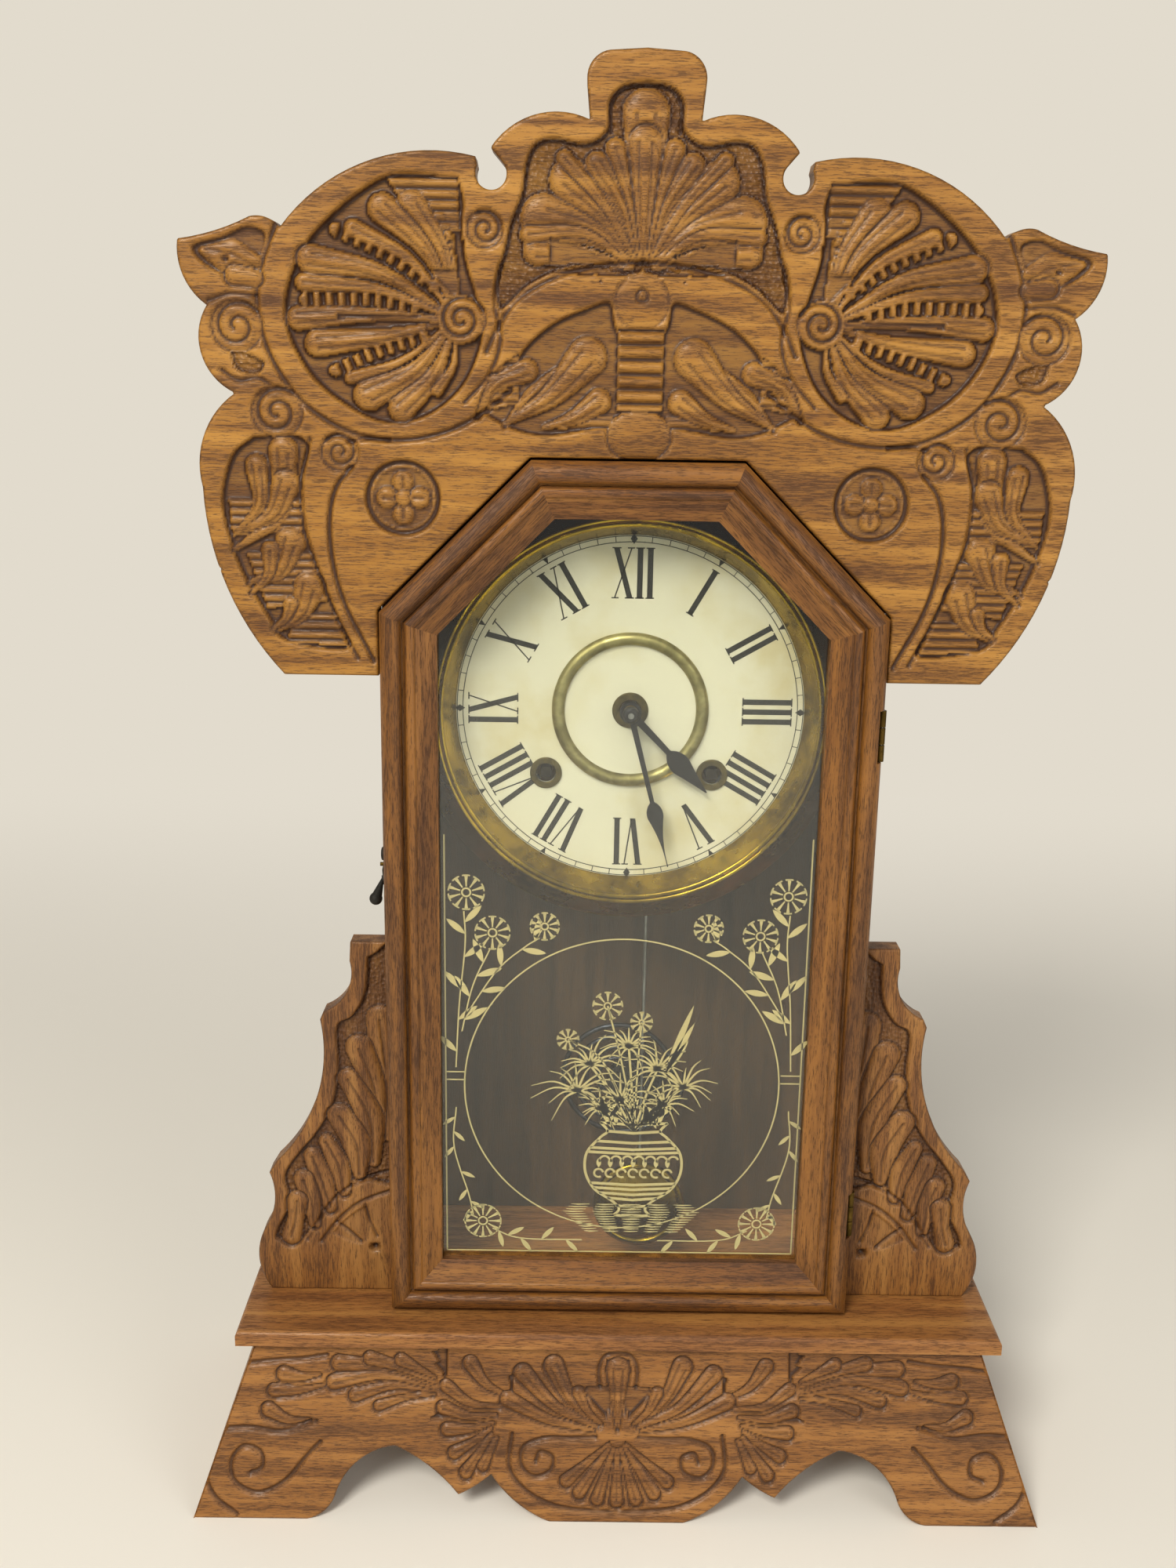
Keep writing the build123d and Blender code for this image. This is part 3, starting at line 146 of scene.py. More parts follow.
def oak(name, grain, light, mid, dark, pore_and_shade, gloss=0.46, seed=0.0, wear=0.30):
    """Sawn oak, stained and shellacked: open pores half a millimetre wide and about 6 mm long show as dark
    dashes along the grain, growth rings a few mm apart shift the tone, and painted shade darkens the cuts and
    sunk ground. Punched ground is pitted every 1.8 mm. grain is the direction of the fibres as an angle from
    X towards Z."""
    material, tree, shader = surface(name, mid, gloss, coat=0.04)
    shader.inputs["Specular IOR Level"].default_value = 0.4
    place = add(tree, "ShaderNodeTexCoord").outputs["Object"]
    turn = (0.0, -grain, 0.0)
    rings = add(tree, "ShaderNodeMapping",
                {"Vector": place, "Location": (seed, seed, seed), "Rotation": turn,
                 "Scale": (RING_LENGTH * MM, RING_PITCH * MM, RING_PITCH * MM)},
                vector_type="TEXTURE")
    figure = add(tree, "ShaderNodeTexNoise", {"Vector": rings.outputs[0], "Scale": 1.0, "Detail": 4.0,
                                              "Roughness": 0.62, "Distortion": 0.5})
    tone = add(tree, "ShaderNodeValToRGB", {"Fac": figure.outputs[0]},
               [(0.30, linear(dark)), (0.48, linear(mid)), (0.66, linear(light))])
    long = add(tree, "ShaderNodeMapping",
               {"Vector": place, "Location": (seed, 0.3, seed), "Rotation": turn,
                "Scale": (PORE_LENGTH * MM, PORE_WIDTH * MM, PORE_WIDTH * MM)}, vector_type="TEXTURE")
    pores = add(tree, "ShaderNodeTexNoise", {"Vector": long.outputs[0], "Scale": 1.0, "Detail": 3.0,
                                             "Roughness": 0.7})
    early = add(tree, "ShaderNodeMath", {0: figure.outputs[0], 1: -0.35}, operation="MULTIPLY")
    dashes = add(tree, "ShaderNodeMath", {0: pores.outputs[0], 1: early.outputs[0]}, operation="ADD")
    cut = add(tree, "ShaderNodeValToRGB", {"Fac": dashes.outputs[0]},
              [(0.325, grey(0.0)), (0.41, grey(1.0))])
    painted_recess_shade = add(tree, "ShaderNodeAttribute", attribute_name="painted_recess_shade")
    worn = add(tree, "ShaderNodeAttribute", attribute_name="worn")
    colour = tone.outputs[0]
    # the darkest colour goes into the pores and, as painted shade, into the cuts and sunk ground; worn ridges
    # take the light colour
    for source, amount, shade in ((cut.outputs[0], 0.66, pore_and_shade), (painted_recess_shade.outputs["Fac"], 0.9, pore_and_shade),
                                  (worn.outputs["Fac"], wear, light)):
        share = add(tree, "ShaderNodeMath", {0: source, 1: amount}, operation="MULTIPLY")
        mixed = add(tree, "ShaderNodeMix", {0: share.outputs[0], 6: colour, 7: linear(shade)},
                    data_type="RGBA")
        colour = mixed.outputs[2]
    tree.links.new(colour, shader.inputs["Base Color"])
    stipple = add(tree, "ShaderNodeAttribute", attribute_name="stipple")
    punch = add(tree, "ShaderNodeTexVoronoi", {"Vector": place, "Scale": PUNCH_PER_METRE}, feature="F1")
    dots = add(tree, "ShaderNodeMath", {0: punch.outputs["Distance"], 1: stipple.outputs["Fac"]},
               operation="MULTIPLY")
    sunk = add(tree, "ShaderNodeBump", {"Height": dots.outputs[0], "Strength": 0.9, "Distance": 0.0012})
    level = add(tree, "ShaderNodeMath", {0: cut.outputs[0], 1: -1.0}, operation="MULTIPLY")
    grainy = add(tree, "ShaderNodeBump", {"Height": level.outputs[0], "Strength": 0.28, "Distance": 0.0003,
                                          "Normal": sunk.outputs[0]})
    tree.links.new(grainy.outputs[0], shader.inputs["Normal"])
    rough = add(tree, "ShaderNodeMapRange", {"Value": cut.outputs[0], "To Min": gloss, "To Max": 0.65})
    tree.links.new(rough.outputs[0], shader.inputs["Roughness"])
    return material


def metal(name, colour, tarnish, roughness, size, stretch=(1.0, 1.0, 1.0), amount=0.5, metallic=1.0):
    """A metal whose tarnish lies in soft patches of the given size, stretched where it was drawn."""
    material, tree, shader = surface(name, colour, roughness, metallic=metallic)
    place = add(tree, "ShaderNodeTexCoord").outputs["Object"]
    patch = add(tree, "ShaderNodeMapping", {"Vector": place, "Scale": tuple(size * MM * s for s in stretch)},
                vector_type="TEXTURE")
    cloud = add(tree, "ShaderNodeTexNoise", {"Vector": patch.outputs[0], "Scale": 1.0, "Detail": 5.0,
                                             "Roughness": 0.65})
    tone = add(tree, "ShaderNodeValToRGB", {"Fac": cloud.outputs[0]},
               [(0.5 - 0.25 * amount, linear(tarnish)), (0.5 + 0.35 * (1 - amount), linear(colour))])
    tree.links.new(tone.outputs[0], shader.inputs["Base Color"])
    dull = add(tree, "ShaderNodeMapRange", {"Value": cloud.outputs[0], "From Min": 0.3, "From Max": 0.7,
                                            "To Min": min(1.0, roughness * 1.7), "To Max": roughness})
    tree.links.new(dull.outputs[0], shader.inputs["Roughness"])
    fine = add(tree, "ShaderNodeTexNoise", {"Vector": place, "Scale": 900.0, "Detail": 2.0})
    skin = add(tree, "ShaderNodeBump", {"Height": fine.outputs[0], "Strength": 0.06, "Distance": 0.0002})
    tree.links.new(skin.outputs[0], shader.inputs["Normal"])
    return material


def paper(name, colour, foxed):
    """Printed card, coated and aged: cream with faint brown clouds a few centimetres wide."""
    material, tree, shader = surface(name, colour, 0.55)
    place = add(tree, "ShaderNodeTexCoord").outputs["Object"]
    cloud = add(tree, "ShaderNodeTexNoise", {"Vector": place, "Scale": 26.0, "Detail": 5.0, "Roughness": 0.6})
    tone = add(tree, "ShaderNodeValToRGB", {"Fac": cloud.outputs[0]},
               [(0.32, linear(foxed)), (0.52, linear(colour))])
    tree.links.new(tone.outputs[0], shader.inputs["Base Color"])
    fibre = add(tree, "ShaderNodeTexNoise", {"Vector": place, "Scale": 1500.0, "Detail": 2.0})
    skin = add(tree, "ShaderNodeBump", {"Height": fibre.outputs[0], "Strength": 0.08, "Distance": 0.0001})
    tree.links.new(skin.outputs[0], shader.inputs["Normal"])
    return material


def pane(name):
    """Old cylinder glass: clear, faintly green, with slow waves that bend what it mirrors. A lamp's shadow
    ray goes straight through, so the case behind is lit."""
    material, tree, shader = surface(name, "#EEF3EE", 0.02, Transmission_Weight=1.0, IOR=1.5)
    place = add(tree, "ShaderNodeTexCoord").outputs["Object"]
    wave = add(tree, "ShaderNodeTexNoise", {"Vector": place, "Scale": 14.0, "Detail": 1.0})
    bend = add(tree, "ShaderNodeBump", {"Height": wave.outputs[0], "Strength": 0.06, "Distance": 0.001})
    tree.links.new(bend.outputs[0], shader.inputs["Normal"])
    clear = add(tree, "ShaderNodeBsdfTransparent")
    ray = add(tree, "ShaderNodeLightPath")
    both = add(tree, "ShaderNodeMixShader", {0: ray.outputs["Is Shadow Ray"], 1: shader.outputs[0],
                                             2: clear.outputs[0]})
    tree.links.new(both.outputs[0], tree.nodes["Material Output"].inputs["Surface"])
    return material


# the fibres' direction from level; the diagonal rails lean with the door's corners
LEVEL, UPRIGHT, SLANT = 0.0, math.pi / 2, math.radians(46.5)
# oak under amber shellac: gold where rubbed, brown in the grain, near black in pores, and painted shade near
# black in the cuts
oak_crest = oak("oak_crest_shellac", LEVEL, "#AB7A33", "#8F6022", "#6A4114", "#3A1F09", seed=0.11)
oak_wing = oak("oak_wing_shellac", UPRIGHT, "#9C6E38", "#835628", "#623C1C", "#3C220E", seed=0.27)
oak_base = oak("oak_base_shellac", LEVEL, "#A06E36", "#865726", "#66401B", "#3C2109", seed=0.43, wear=0.15)
oak_shelf = oak("oak_shelf_shellac", LEVEL, "#A8763E", "#926031", "#774B27", "#4A2B13", seed=0.51)
oak_case = oak("oak_case_shellac", UPRIGHT, "#8E602F", "#744A24", "#53321A", "#331C0C", seed=0.66)
oak_stile = oak("oak_stile_shellac", UPRIGHT, "#8E5E28", "#72481C", "#533113", "#301906", seed=0.71,
                gloss=0.36)
oak_rail = oak("oak_rail_shellac", LEVEL, "#92622A", "#764A1E", "#563314", "#331B07", seed=0.83, gloss=0.36)
oak_slant_left = oak("oak_slant_left_shellac", SLANT, "#8E5E28", "#72481C", "#533113", "#301906", seed=0.37,
                     gloss=0.36)
oak_slant_right = oak("oak_slant_right_shellac", -SLANT, "#8E5E28", "#72481C", "#533113", "#301906",
                      seed=0.93, gloss=0.36)
# poplar, sawn and left bare inside the case, browned by age
poplar = oak("poplar_aged", UPRIGHT, "#50391F", "#44301A", "#352514", "#22160B", gloss=0.75, seed=0.19)
# bezel of sheet brass, stamped and lacquered: warm yellow with brown tarnish where the lacquer has gone
brass_bezel = metal("brass_stamped_lacquered", "#C2A02C", "#6A551A", 0.2, 26.0, amount=0.5)
# hinge leaves and the latch's pin, browned by handling
brass_cast = metal("brass_hinge_aged", "#6E5828", "#453617", 0.45, 6.0, amount=0.6)
# the ring and eyelets on the dial, dulled to a grey brown
brass_dull = metal("brass_ring_dull", "#A39A68", "#6F6740", 0.38, 10.0, amount=0.5)
brass_dark = metal("brass_eyelet_dark", "#6A5D36", "#3F3720", 0.42, 5.0, amount=0.5)
# rolled brass of plates and wheels, dulled evenly by clock oil
brass_wheel = metal("brass_rolled_oiled", "#B08F46", "#7C6228", 0.30, 9.0, stretch=(1.0, 1.0, 4.0),
                    amount=0.45)
# drawn wire and turned arbors, bright along their length
steel_bright = metal("steel_drawn_bright", "#A5A6A4", "#6F6E69", 0.28, 4.0, stretch=(1.0, 1.0, 5.0))
# hardened spring steel with its blue oxide
steel_spring = metal("steel_spring_blued", "#4C5058", "#2B2A2E", 0.30, 5.0)
# cast iron under baked black varnish, softly shining
iron_black = metal("iron_japanned_black", "#2A2723", "#16140F", 0.48, 5.0, metallic=0.4)
# hands stamped from sheet and blackened
steel_black = metal("steel_hand_blackened", "#1B1B1F", "#0D0D10", 0.34, 4.0, metallic=0.5)
# winding arbors, dark with old oil
steel_oiled = metal("steel_arbor_oiled", "#3E3A33", "#1F1C18", 0.5, 4.0)
# tin plate gone grey
tin = metal("tin_plate_dull", "#A9A79B", "#77746A", 0.46, 12.0)
# coated card, cream and faintly foxed
card = paper("card_dial_printed", "#B7B29C", "#ACA27F")
# printer's black, a little shiny
ink = surface("ink_dial_black", "#14130F", 0.45)[0]
# gold bronze paint, matt and pale
gilt = surface("gilt_stencil_paint", "#AE9D6A", 0.5, metallic=0.15)[0]
# window glass
glass = pane("glass_cylinder_old")

FINISH = {
    "case_side_left": oak_case, "case_side_right": oak_case, "case_top": oak_shelf, "shelf_board": oak_shelf,
    "base_side_left": oak_base, "base_side_right": oak_base, "back_board": poplar, "glue_blocks": poplar,
    "dial_cleats": poplar, "movement_blocks": poplar, "glass_beads": oak_stile,
    "door_stile_left": oak_stile, "door_stile_right": oak_stile, "door_rail_top": oak_rail,
    "door_rail_bottom": oak_rail, "door_diagonal_left": oak_slant_left,
    "door_diagonal_right": oak_slant_right,
    "door_glass": glass, "hinge_case_leaves": brass_cast, "hinge_door_leaves": brass_cast,
    "hinge_pins": steel_bright, "latch_hook": iron_black, "latch_screw": iron_black,
    "latch_catch": brass_cast,
    "dial_pan": tin, "dial_paper": card, "dial_grommets": brass_dark, "dial_inner_ring": brass_dull,
    "bezel_ring": brass_bezel, "minute_hand": steel_black, "hour_hand": steel_black, "hand_nut": steel_black,
    "front_plate": brass_wheel, "back_plate": brass_wheel, "plate_pillars": steel_bright,
    "time_great_wheel": brass_wheel, "strike_great_wheel": brass_wheel, "second_wheel": brass_wheel,
    "centre_wheel": brass_wheel, "third_wheel": brass_wheel, "escape_wheel": brass_wheel,
    "minute_wheel": brass_wheel, "hour_wheel": brass_wheel, "pendulum_bob": brass_bezel,
    "time_winding_arbor": steel_oiled, "strike_winding_arbor": steel_oiled, "centre_arbor": steel_bright,
    "minute_post": steel_bright, "suspension_stud": steel_bright, "verge": steel_bright,
    "pendulum_rod": steel_bright, "mainsprings": steel_spring, "gong_coil": steel_spring,
    "gong_post": iron_black,
}


def dress(piece, material):
    """Gives every face of a piece one material."""
    piece.data.materials.clear()
    piece.data.materials.append(material)


# Carving

def curve(points, spans=6):
    """A smooth line through points: on each span, a cubic whose end slopes are half the chord across."""
    p = np.array(points, float)
    p = np.vstack([2 * p[0] - p[1], p, 2 * p[-1] - p[-2]])
    t = np.linspace(0, 1, spans, endpoint=False)[:, None]
    a, b, c, d = p[:-3], p[1:-2], p[2:-1], p[3:]
    rows = [0.5 * (2 * b[i] + (c[i] - a[i]) * t + (2 * a[i] - 5 * b[i] + 4 * c[i] - d[i]) * t ** 2
                   + (3 * b[i] - a[i] - 3 * c[i] + d[i]) * t ** 3) for i in range(len(b))]
    return np.vstack(rows + [p[-2:-1]])


def spiral_path(x, z, outer, turns, start, hand):
    """A flat spiral: the radius shrinks evenly from outer to a sixth of it while the angle goes round."""
    t = np.linspace(0, 1, int(18 * turns) + 2)
    angle = start + hand * 2 * math.pi * turns * t
    radius = outer * (1 - 0.84 * t)
    return np.column_stack([x + radius * np.cos(angle), z + radius * np.sin(angle)])


class Relief:
    """Depths over a board's face at its points x and z: 0 is the face and less is cut away."""

    def __init__(self, x, z):
        self.x, self.z = x, z
        self.depth = np.zeros(x.shape)
        self.stipple = np.zeros(x.shape)

    def near(self, path, radii):
        """Each point's distance from a path as a share of the radius there, the plain distance, the run along
        the path and how far past the radius it is: the least over straight pieces, by projecting the point on
        each."""
        path = np.array(path, float)
        radii = np.atleast_1d(np.array(radii, float))
        radii = np.interp(np.linspace(0, 1, len(path)), np.linspace(0, 1, len(radii)), radii)
        reach = radii.max() + 2.0
        low, high = path.min(0) - reach, path.max(0) + reach
        spot = np.nonzero((self.x > low[0]) & (self.x < high[0]) & (self.z > low[1]) & (self.z < high[1]))
        x, z = self.x[spot], self.z[spot]
        share, plain = np.full(x.shape, 9.0), np.full(x.shape, 1e3)
        run, past = np.zeros(x.shape), np.zeros(x.shape)
        done = 0.0
        for (ax, az), (bx, bz), ra, rb in zip(path[:-1], path[1:], radii[:-1], radii[1:]):
            length = max(math.hypot(bx - ax, bz - az), 1e-6)
            t = np.clip(((x - ax) * (bx - ax) + (z - az) * (bz - az)) / length ** 2, 0, 1)
            gap = np.hypot(x - ax - t * (bx - ax), z - az - t * (bz - az))
            radius = ra + t * (rb - ra)
            part = gap / radius
            better = part < share
            share = np.where(better, part, share)
            run = np.where(better, done + t * length, run)
            past = np.where(better, gap - radius, past)
            plain = np.minimum(plain, gap)
            done += length
        return spot, share, plain, run, past

    def inside(self, ring):
        """Signed distance to a closed ring, positive inside: the least distance to its sides, with the sign
        from how many sides a level ray crosses."""
        ring = np.array(ring, float)
        low, high = ring.min(0) - 1, ring.max(0) + 1
        spot = np.nonzero((self.x > low[0]) & (self.x < high[0]) & (self.z > low[1]) & (self.z < high[1]))
        return spot, ring_distance(self.x[spot], self.z[spot], ring)

    def sink(self, points, deep, slope=1.1, stipple=0.0, smooth=True):
        """Lowers the ground inside a ring to a depth, with side walls that ease in over the slope."""
        ring = curve(list(points) + [points[0]], 5)[:-1] if smooth else points
        spot, gap = self.inside(ring)
        t = np.clip(gap / slope, 0, 1)
        self.depth[spot] = np.minimum(self.depth[spot], -deep * t * t * (3 - 2 * t))
        self.stipple[spot] = np.maximum(self.stipple[spot], stipple * (t > 0.5))

    def lobe(self, points, radii, top=-0.2, fall=1.9, smooth=True, moat=1.0):
        """A rounded swell along a path: its section is a half circle squashed to the fall. A moat of the
        given width round it is cut to the swell's foot first, so that its edge shows."""
        path = curve(points) if smooth and len(points) > 2 else np.array(points, float)
        spot, share, _, _, past = self.near(path, radii)
        cut = (top - fall - 0.2) * np.clip((moat - past) / 0.9, 0, 1)
        self.depth[spot] = np.minimum(self.depth[spot], cut)
        held = share < 1
        swell = top - fall * (1 - np.sqrt(np.clip(1 - share ** 2, 0, 1)))
        over = held & (swell > self.depth[spot])
        self.depth[spot] = np.where(over, swell, self.depth[spot])
        self.stipple[spot] = np.where(over, 0.0, self.stipple[spot])

    def feather(self, start, tip, wide, bend, clear):
        """A wedge that widens to a round tip, bowed to one side, with one or two lines cut along it."""
        run = math.hypot(tip[0] - start[0], tip[1] - start[1])
        ux, uz = (tip[0] - start[0]) / run, (tip[1] - start[1]) / run
        root = (start[0] + clear * ux, start[1] + clear * uz)
        half = ((root[0] + tip[0]) / 2 - bend * uz, (root[1] + tip[1]) / 2 + bend * ux)
        self.lobe([root, half, tip], (0.8, wide * 0.56, wide), -0.1, 2.4, moat=0.7)
        for side in (-0.38, 0.38) if wide > 4 else (0.0,):
            off = side * wide
            bow = (half[0] - 0.7 * off * uz, half[1] + 0.7 * off * ux)
            self.groove([root, bow, (tip[0] - off * uz, tip[1] + off * ux)], 0.8, 0.8)

    def groove(self, points, width=1.3, deep=1.3, smooth=True):
        """A cut whose section is a parabola of a half width and depth along a path."""
        path = curve(points) if smooth and len(points) > 2 else np.array(points, float)
        spot, _, plain, _, _ = self.near(path, width)
        self.depth[spot] -= deep * np.clip(1 - (plain / width) ** 2, 0, 1)

    def rungs(self, points, half, pitch, low, high):
        """Small blocks in a row: the height goes between low and high as a cosine of the path's run."""
        spot, share, _, run, _ = self.near(curve(points), half)
        wave = low + (high - low) * np.clip(0.5 + 0.9 * np.cos(2 * math.pi * run / pitch), 0, 1)
        self.depth[spot] = np.where(share < 1, np.maximum(self.depth[spot], wave), self.depth[spot])

    def reeds(self, ring, pitch, low, high, level=True):
        """Parallel ridges inside a ring: the height is the size of a sine across them."""
        spot, gap = self.inside(ring)
        across = self.z[spot] if level else self.x[spot]
        wave = low + (high - low) * np.abs(np.sin(math.pi * across / pitch))
        self.depth[spot] = np.where(gap > 0, wave, self.depth[spot])

    def scroll(self, x, z, radius, turns=1.6, start=0.0, hand=1, top=-0.1, width=0.9, deep=1.4):
        """A domed disc with a spiral cut."""
        self.lobe([(x, z), (x + 0.01, z)], radius, top, 1.2, smooth=False)
        self.groove(spiral_path(x, z, radius * 0.98, turns, start, hand), width, deep, smooth=False)


def ring_distance(x, z, ring):
    """Signed distance of points to a closed ring, positive inside."""
    best = np.full(x.shape, 1e6)
    odd = np.zeros(x.shape, bool)
    for (ax, az), (bx, bz) in zip(ring, np.roll(ring, -1, axis=0)):
        square = max((bx - ax) ** 2 + (bz - az) ** 2, 1e-12)
        t = np.clip(((x - ax) * (bx - ax) + (z - az) * (bz - az)) / square, 0, 1)
        best = np.minimum(best, (x - ax - t * (bx - ax)) ** 2 + (z - az - t * (bz - az)) ** 2)
        if az != bz:
            odd ^= ((az > z) != (bz > z)) & (x < (bx - ax) * (z - az) / (bz - az) + ax)
    return np.where(odd, 1, -1) * np.sqrt(best)


def nearest_on(x, z, ring):
    """The nearest place of a closed ring to each point."""
    best = np.full(x.shape, 1e9)
    nx, nz = x.copy(), z.copy()
    for (ax, az), (bx, bz) in zip(ring, np.roll(ring, -1, axis=0)):
        square = max((bx - ax) ** 2 + (bz - az) ** 2, 1e-12)
        t = np.clip(((x - ax) * (bx - ax) + (z - az) * (bz - az)) / square, 0, 1)
        px, pz = ax + t * (bx - ax), az + t * (bz - az)
        gap = (x - px) ** 2 + (z - pz) ** 2
        better = gap < best
        best = np.where(better, gap, best)
        nx, nz = np.where(better, px, nx), np.where(better, pz, nz)
    return nx, nz


def longest_ring(follow):
    """The longest closed chain in a table that gives each point's follower."""
    rings = []
    while follow:
        here = next(iter(follow))
        ring = []
        while here in follow:
            ring.append(here)
            here = follow.pop(here)
        rings.append(ring)
    return max(rings, key=len)


def face_ring(node, normal):
    """The edge of a CAD board's carved face: the sides that one foremost triangle has alone, in order."""
    mesh = nodes[node].data
    mesh.calc_loop_triangles()
    spots = np.empty(len(mesh.vertices) * 3)
    mesh.vertices.foreach_get("co", spots)
    spots = spots.reshape(-1, 3) / MM
    triples = np.empty(len(mesh.loop_triangles) * 3, int)
    mesh.loop_triangles.foreach_get("vertices", triples)
    triples = triples.reshape(-1, 3)
    keys, same = np.unique(np.round(spots, 2), axis=0, return_inverse=True)
    triples = same.reshape(-1)[triples]
    corner = keys[triples]
    facing = np.cross(corner[:, 1] - corner[:, 0], corner[:, 2] - corner[:, 0])
    size = np.linalg.norm(facing, axis=1)
    normal = np.array(normal) / np.linalg.norm(normal)
    reach = keys @ normal
    foremost = np.abs(reach[triples] - reach.max()).max(1) < 0.15
    front = (facing @ normal > 0.995 * size) & (size > 0) & foremost
    sides = np.vstack([triples[front][:, [0, 1]], triples[front][:, [1, 2]], triples[front][:, [2, 0]]])
    pairs = set(map(tuple, sides))
    follow = {a: b for a, b in pairs if (b, a) not in pairs}
    return keys[longest_ring(follow)][:, [0, 2]]


def carved_board(name, node, step, face, thickness, carve, material, arris=1.0, mitre=None):
    """A board with a carved face. A square grid over the board's outline is kept where its cells' middles lie
    inside, and its outer points move onto the outline. Each point goes back from the face by its carved
    depth. Walls run from the outer points to the back, which is filled with triangles. face gives the face's
    y at x, z."""
    tilt = (face(0.0, 100.0) - face(0.0, 0.0)) / 100.0
    ring = face_ring(node, (0.0, -1.0, tilt))
    low, high = ring.min(0), ring.max(0)
    middle = (low + high) / 2
    count = np.ceil((high - low) / step / 2 + 1).astype(int) * 2
    xs = middle[0] + (np.arange(count[0] + 1) - count[0] / 2) * step
    zs = middle[1] + (np.arange(count[1] + 1) - count[1] / 2) * step
    x, z = np.meshgrid(xs, zs, indexing="ij")
    kept = ring_distance((x[:-1, :-1] + step / 2), (z[:-1, :-1] + step / 2), ring) > 0
    # cells that meet only at a corner get a third, so that the edge never touches itself
    for one, other in (((slice(None, -1), slice(None, -1)), (slice(1, None), slice(1, None))),
                       ((slice(1, None), slice(None, -1)), (slice(None, -1), slice(1, None)))):
        third, fourth = (other[0], one[1]), (one[0], other[1])
        kept[third] |= kept[one] & kept[other] & ~kept[third] & ~kept[fourth]
    padded = np.pad(kept, 1)
    around = [padded[1:, 1:], padded[:-1, 1:], padded[1:, :-1], padded[:-1, :-1]]
    used = np.any(around, axis=0)
    rim = used & ~np.all(around, axis=0)
    x[rim], z[rim] = nearest_on(x[rim], z[rim], ring)
    relief = Relief(x, z)
    carve(relief)
    for axis in (0, 1):
        beside = np.roll(relief.depth, 1, axis) + np.roll(relief.depth, -1, axis)
        relief.depth = (8 * relief.depth + beside) / 10
    gap = np.where(rim, 0.0, np.maximum(ring_distance(x, z, ring), 0.0))
    short = np.clip(arris - gap, 0, arris)
    depth = relief.depth - (arris - np.sqrt(np.maximum(arris ** 2 - short ** 2, 0.0))) * 0.6
    blur = depth.copy()
    for _ in range(2):
        beside = sum(np.roll(blur, shift, axis) for axis in (0, 1) for shift in (1, -1))
        blur = (blur + beside) / 5
    # painted shade: darker with the carved depth and where a point lies below its blurred surroundings; worn
    # is lighter where a point stands above them
    painted_recess_shade = np.clip(0.19 * -relief.depth, 0, 0.55) + np.clip((blur - depth) * 2.6, 0, 0.85)
    worn = np.clip((depth - blur) * 1.8, 0, 1)
    number = np.full(x.shape, -1)
    number[used] = np.arange(used.sum())
    edge = np.full(x.shape, -1)
    edge[rim] = used.sum() + np.arange(rim.sum())
    y = np.broadcast_to(face(x, z), x.shape)
    front = np.column_stack([x[used], (y - depth)[used], z[used]])
    bx, bz = x[rim], z[rim]
    if mitre:
        bx = bx - np.sign(bx) * mitre(np.abs(bx), bz)
    behind = np.column_stack([bx, y[rim] + thickness, bz])
    cells = np.stack([number[:-1, :-1], number[1:, :-1], number[1:, 1:], number[:-1, 1:]], -1)[kept]
    walls, follow = [], {}
    for shift, first, second in (((0, -1), (0, 0), (1, 0)), ((1, 0), (1, 0), (1, 1)),
                                 ((0, 1), (1, 1), (0, 1)),
                                 ((-1, 0), (0, 1), (0, 0))):
        beside = padded[1 + shift[0]:padded.shape[0] - 1 + shift[0],
                        1 + shift[1]:padded.shape[1] - 1 + shift[1]]
        i, j = np.nonzero(kept & ~beside)
        a, b = (i + first[0], j + first[1]), (i + second[0], j + second[1])
        walls.append(np.stack([number[b], number[a], edge[a], edge[b]], -1))
        follow.update(zip(edge[a].tolist(), edge[b].tolist()))
    faces = np.vstack([cells] + walls)
    spots = np.vstack([front, behind]) * MM
    loop = np.array(longest_ring(follow)[::-1])
    flat = np.vstack([front[:, [0, 2]], np.column_stack([x[rim], z[rim]])])
    caps = loop[np.array(tessellate_polygon([[(sx, sz, 0.0) for sx, sz in flat[loop].tolist()]]))]
    a, b, c = (flat[caps[:, k]] for k in range(3))
    wrong = np.cross(b - a, c - a) > 0
    caps[wrong] = caps[wrong][:, ::-1]
    mesh = bpy.data.meshes.new(name)
    mesh.from_pydata(spots.tolist(), [], faces.tolist() + caps.tolist())
    smooth = np.zeros(len(mesh.polygons), bool)
    smooth[:len(cells)] = True
    mesh.polygons.foreach_set("use_smooth", smooth)
    extra = np.zeros(rim.sum())
    for label, values in (("painted_recess_shade", painted_recess_shade), ("worn", worn), ("stipple", relief.stipple)):
        layer = mesh.attributes.new(label, "FLOAT", "POINT")
        layer.data.foreach_set("value", np.concatenate([values[used], extra]))
    piece = bpy.data.objects.new(name, mesh)
    bpy.context.scene.collection.objects.link(piece)
    dress(piece, material)
    return piece


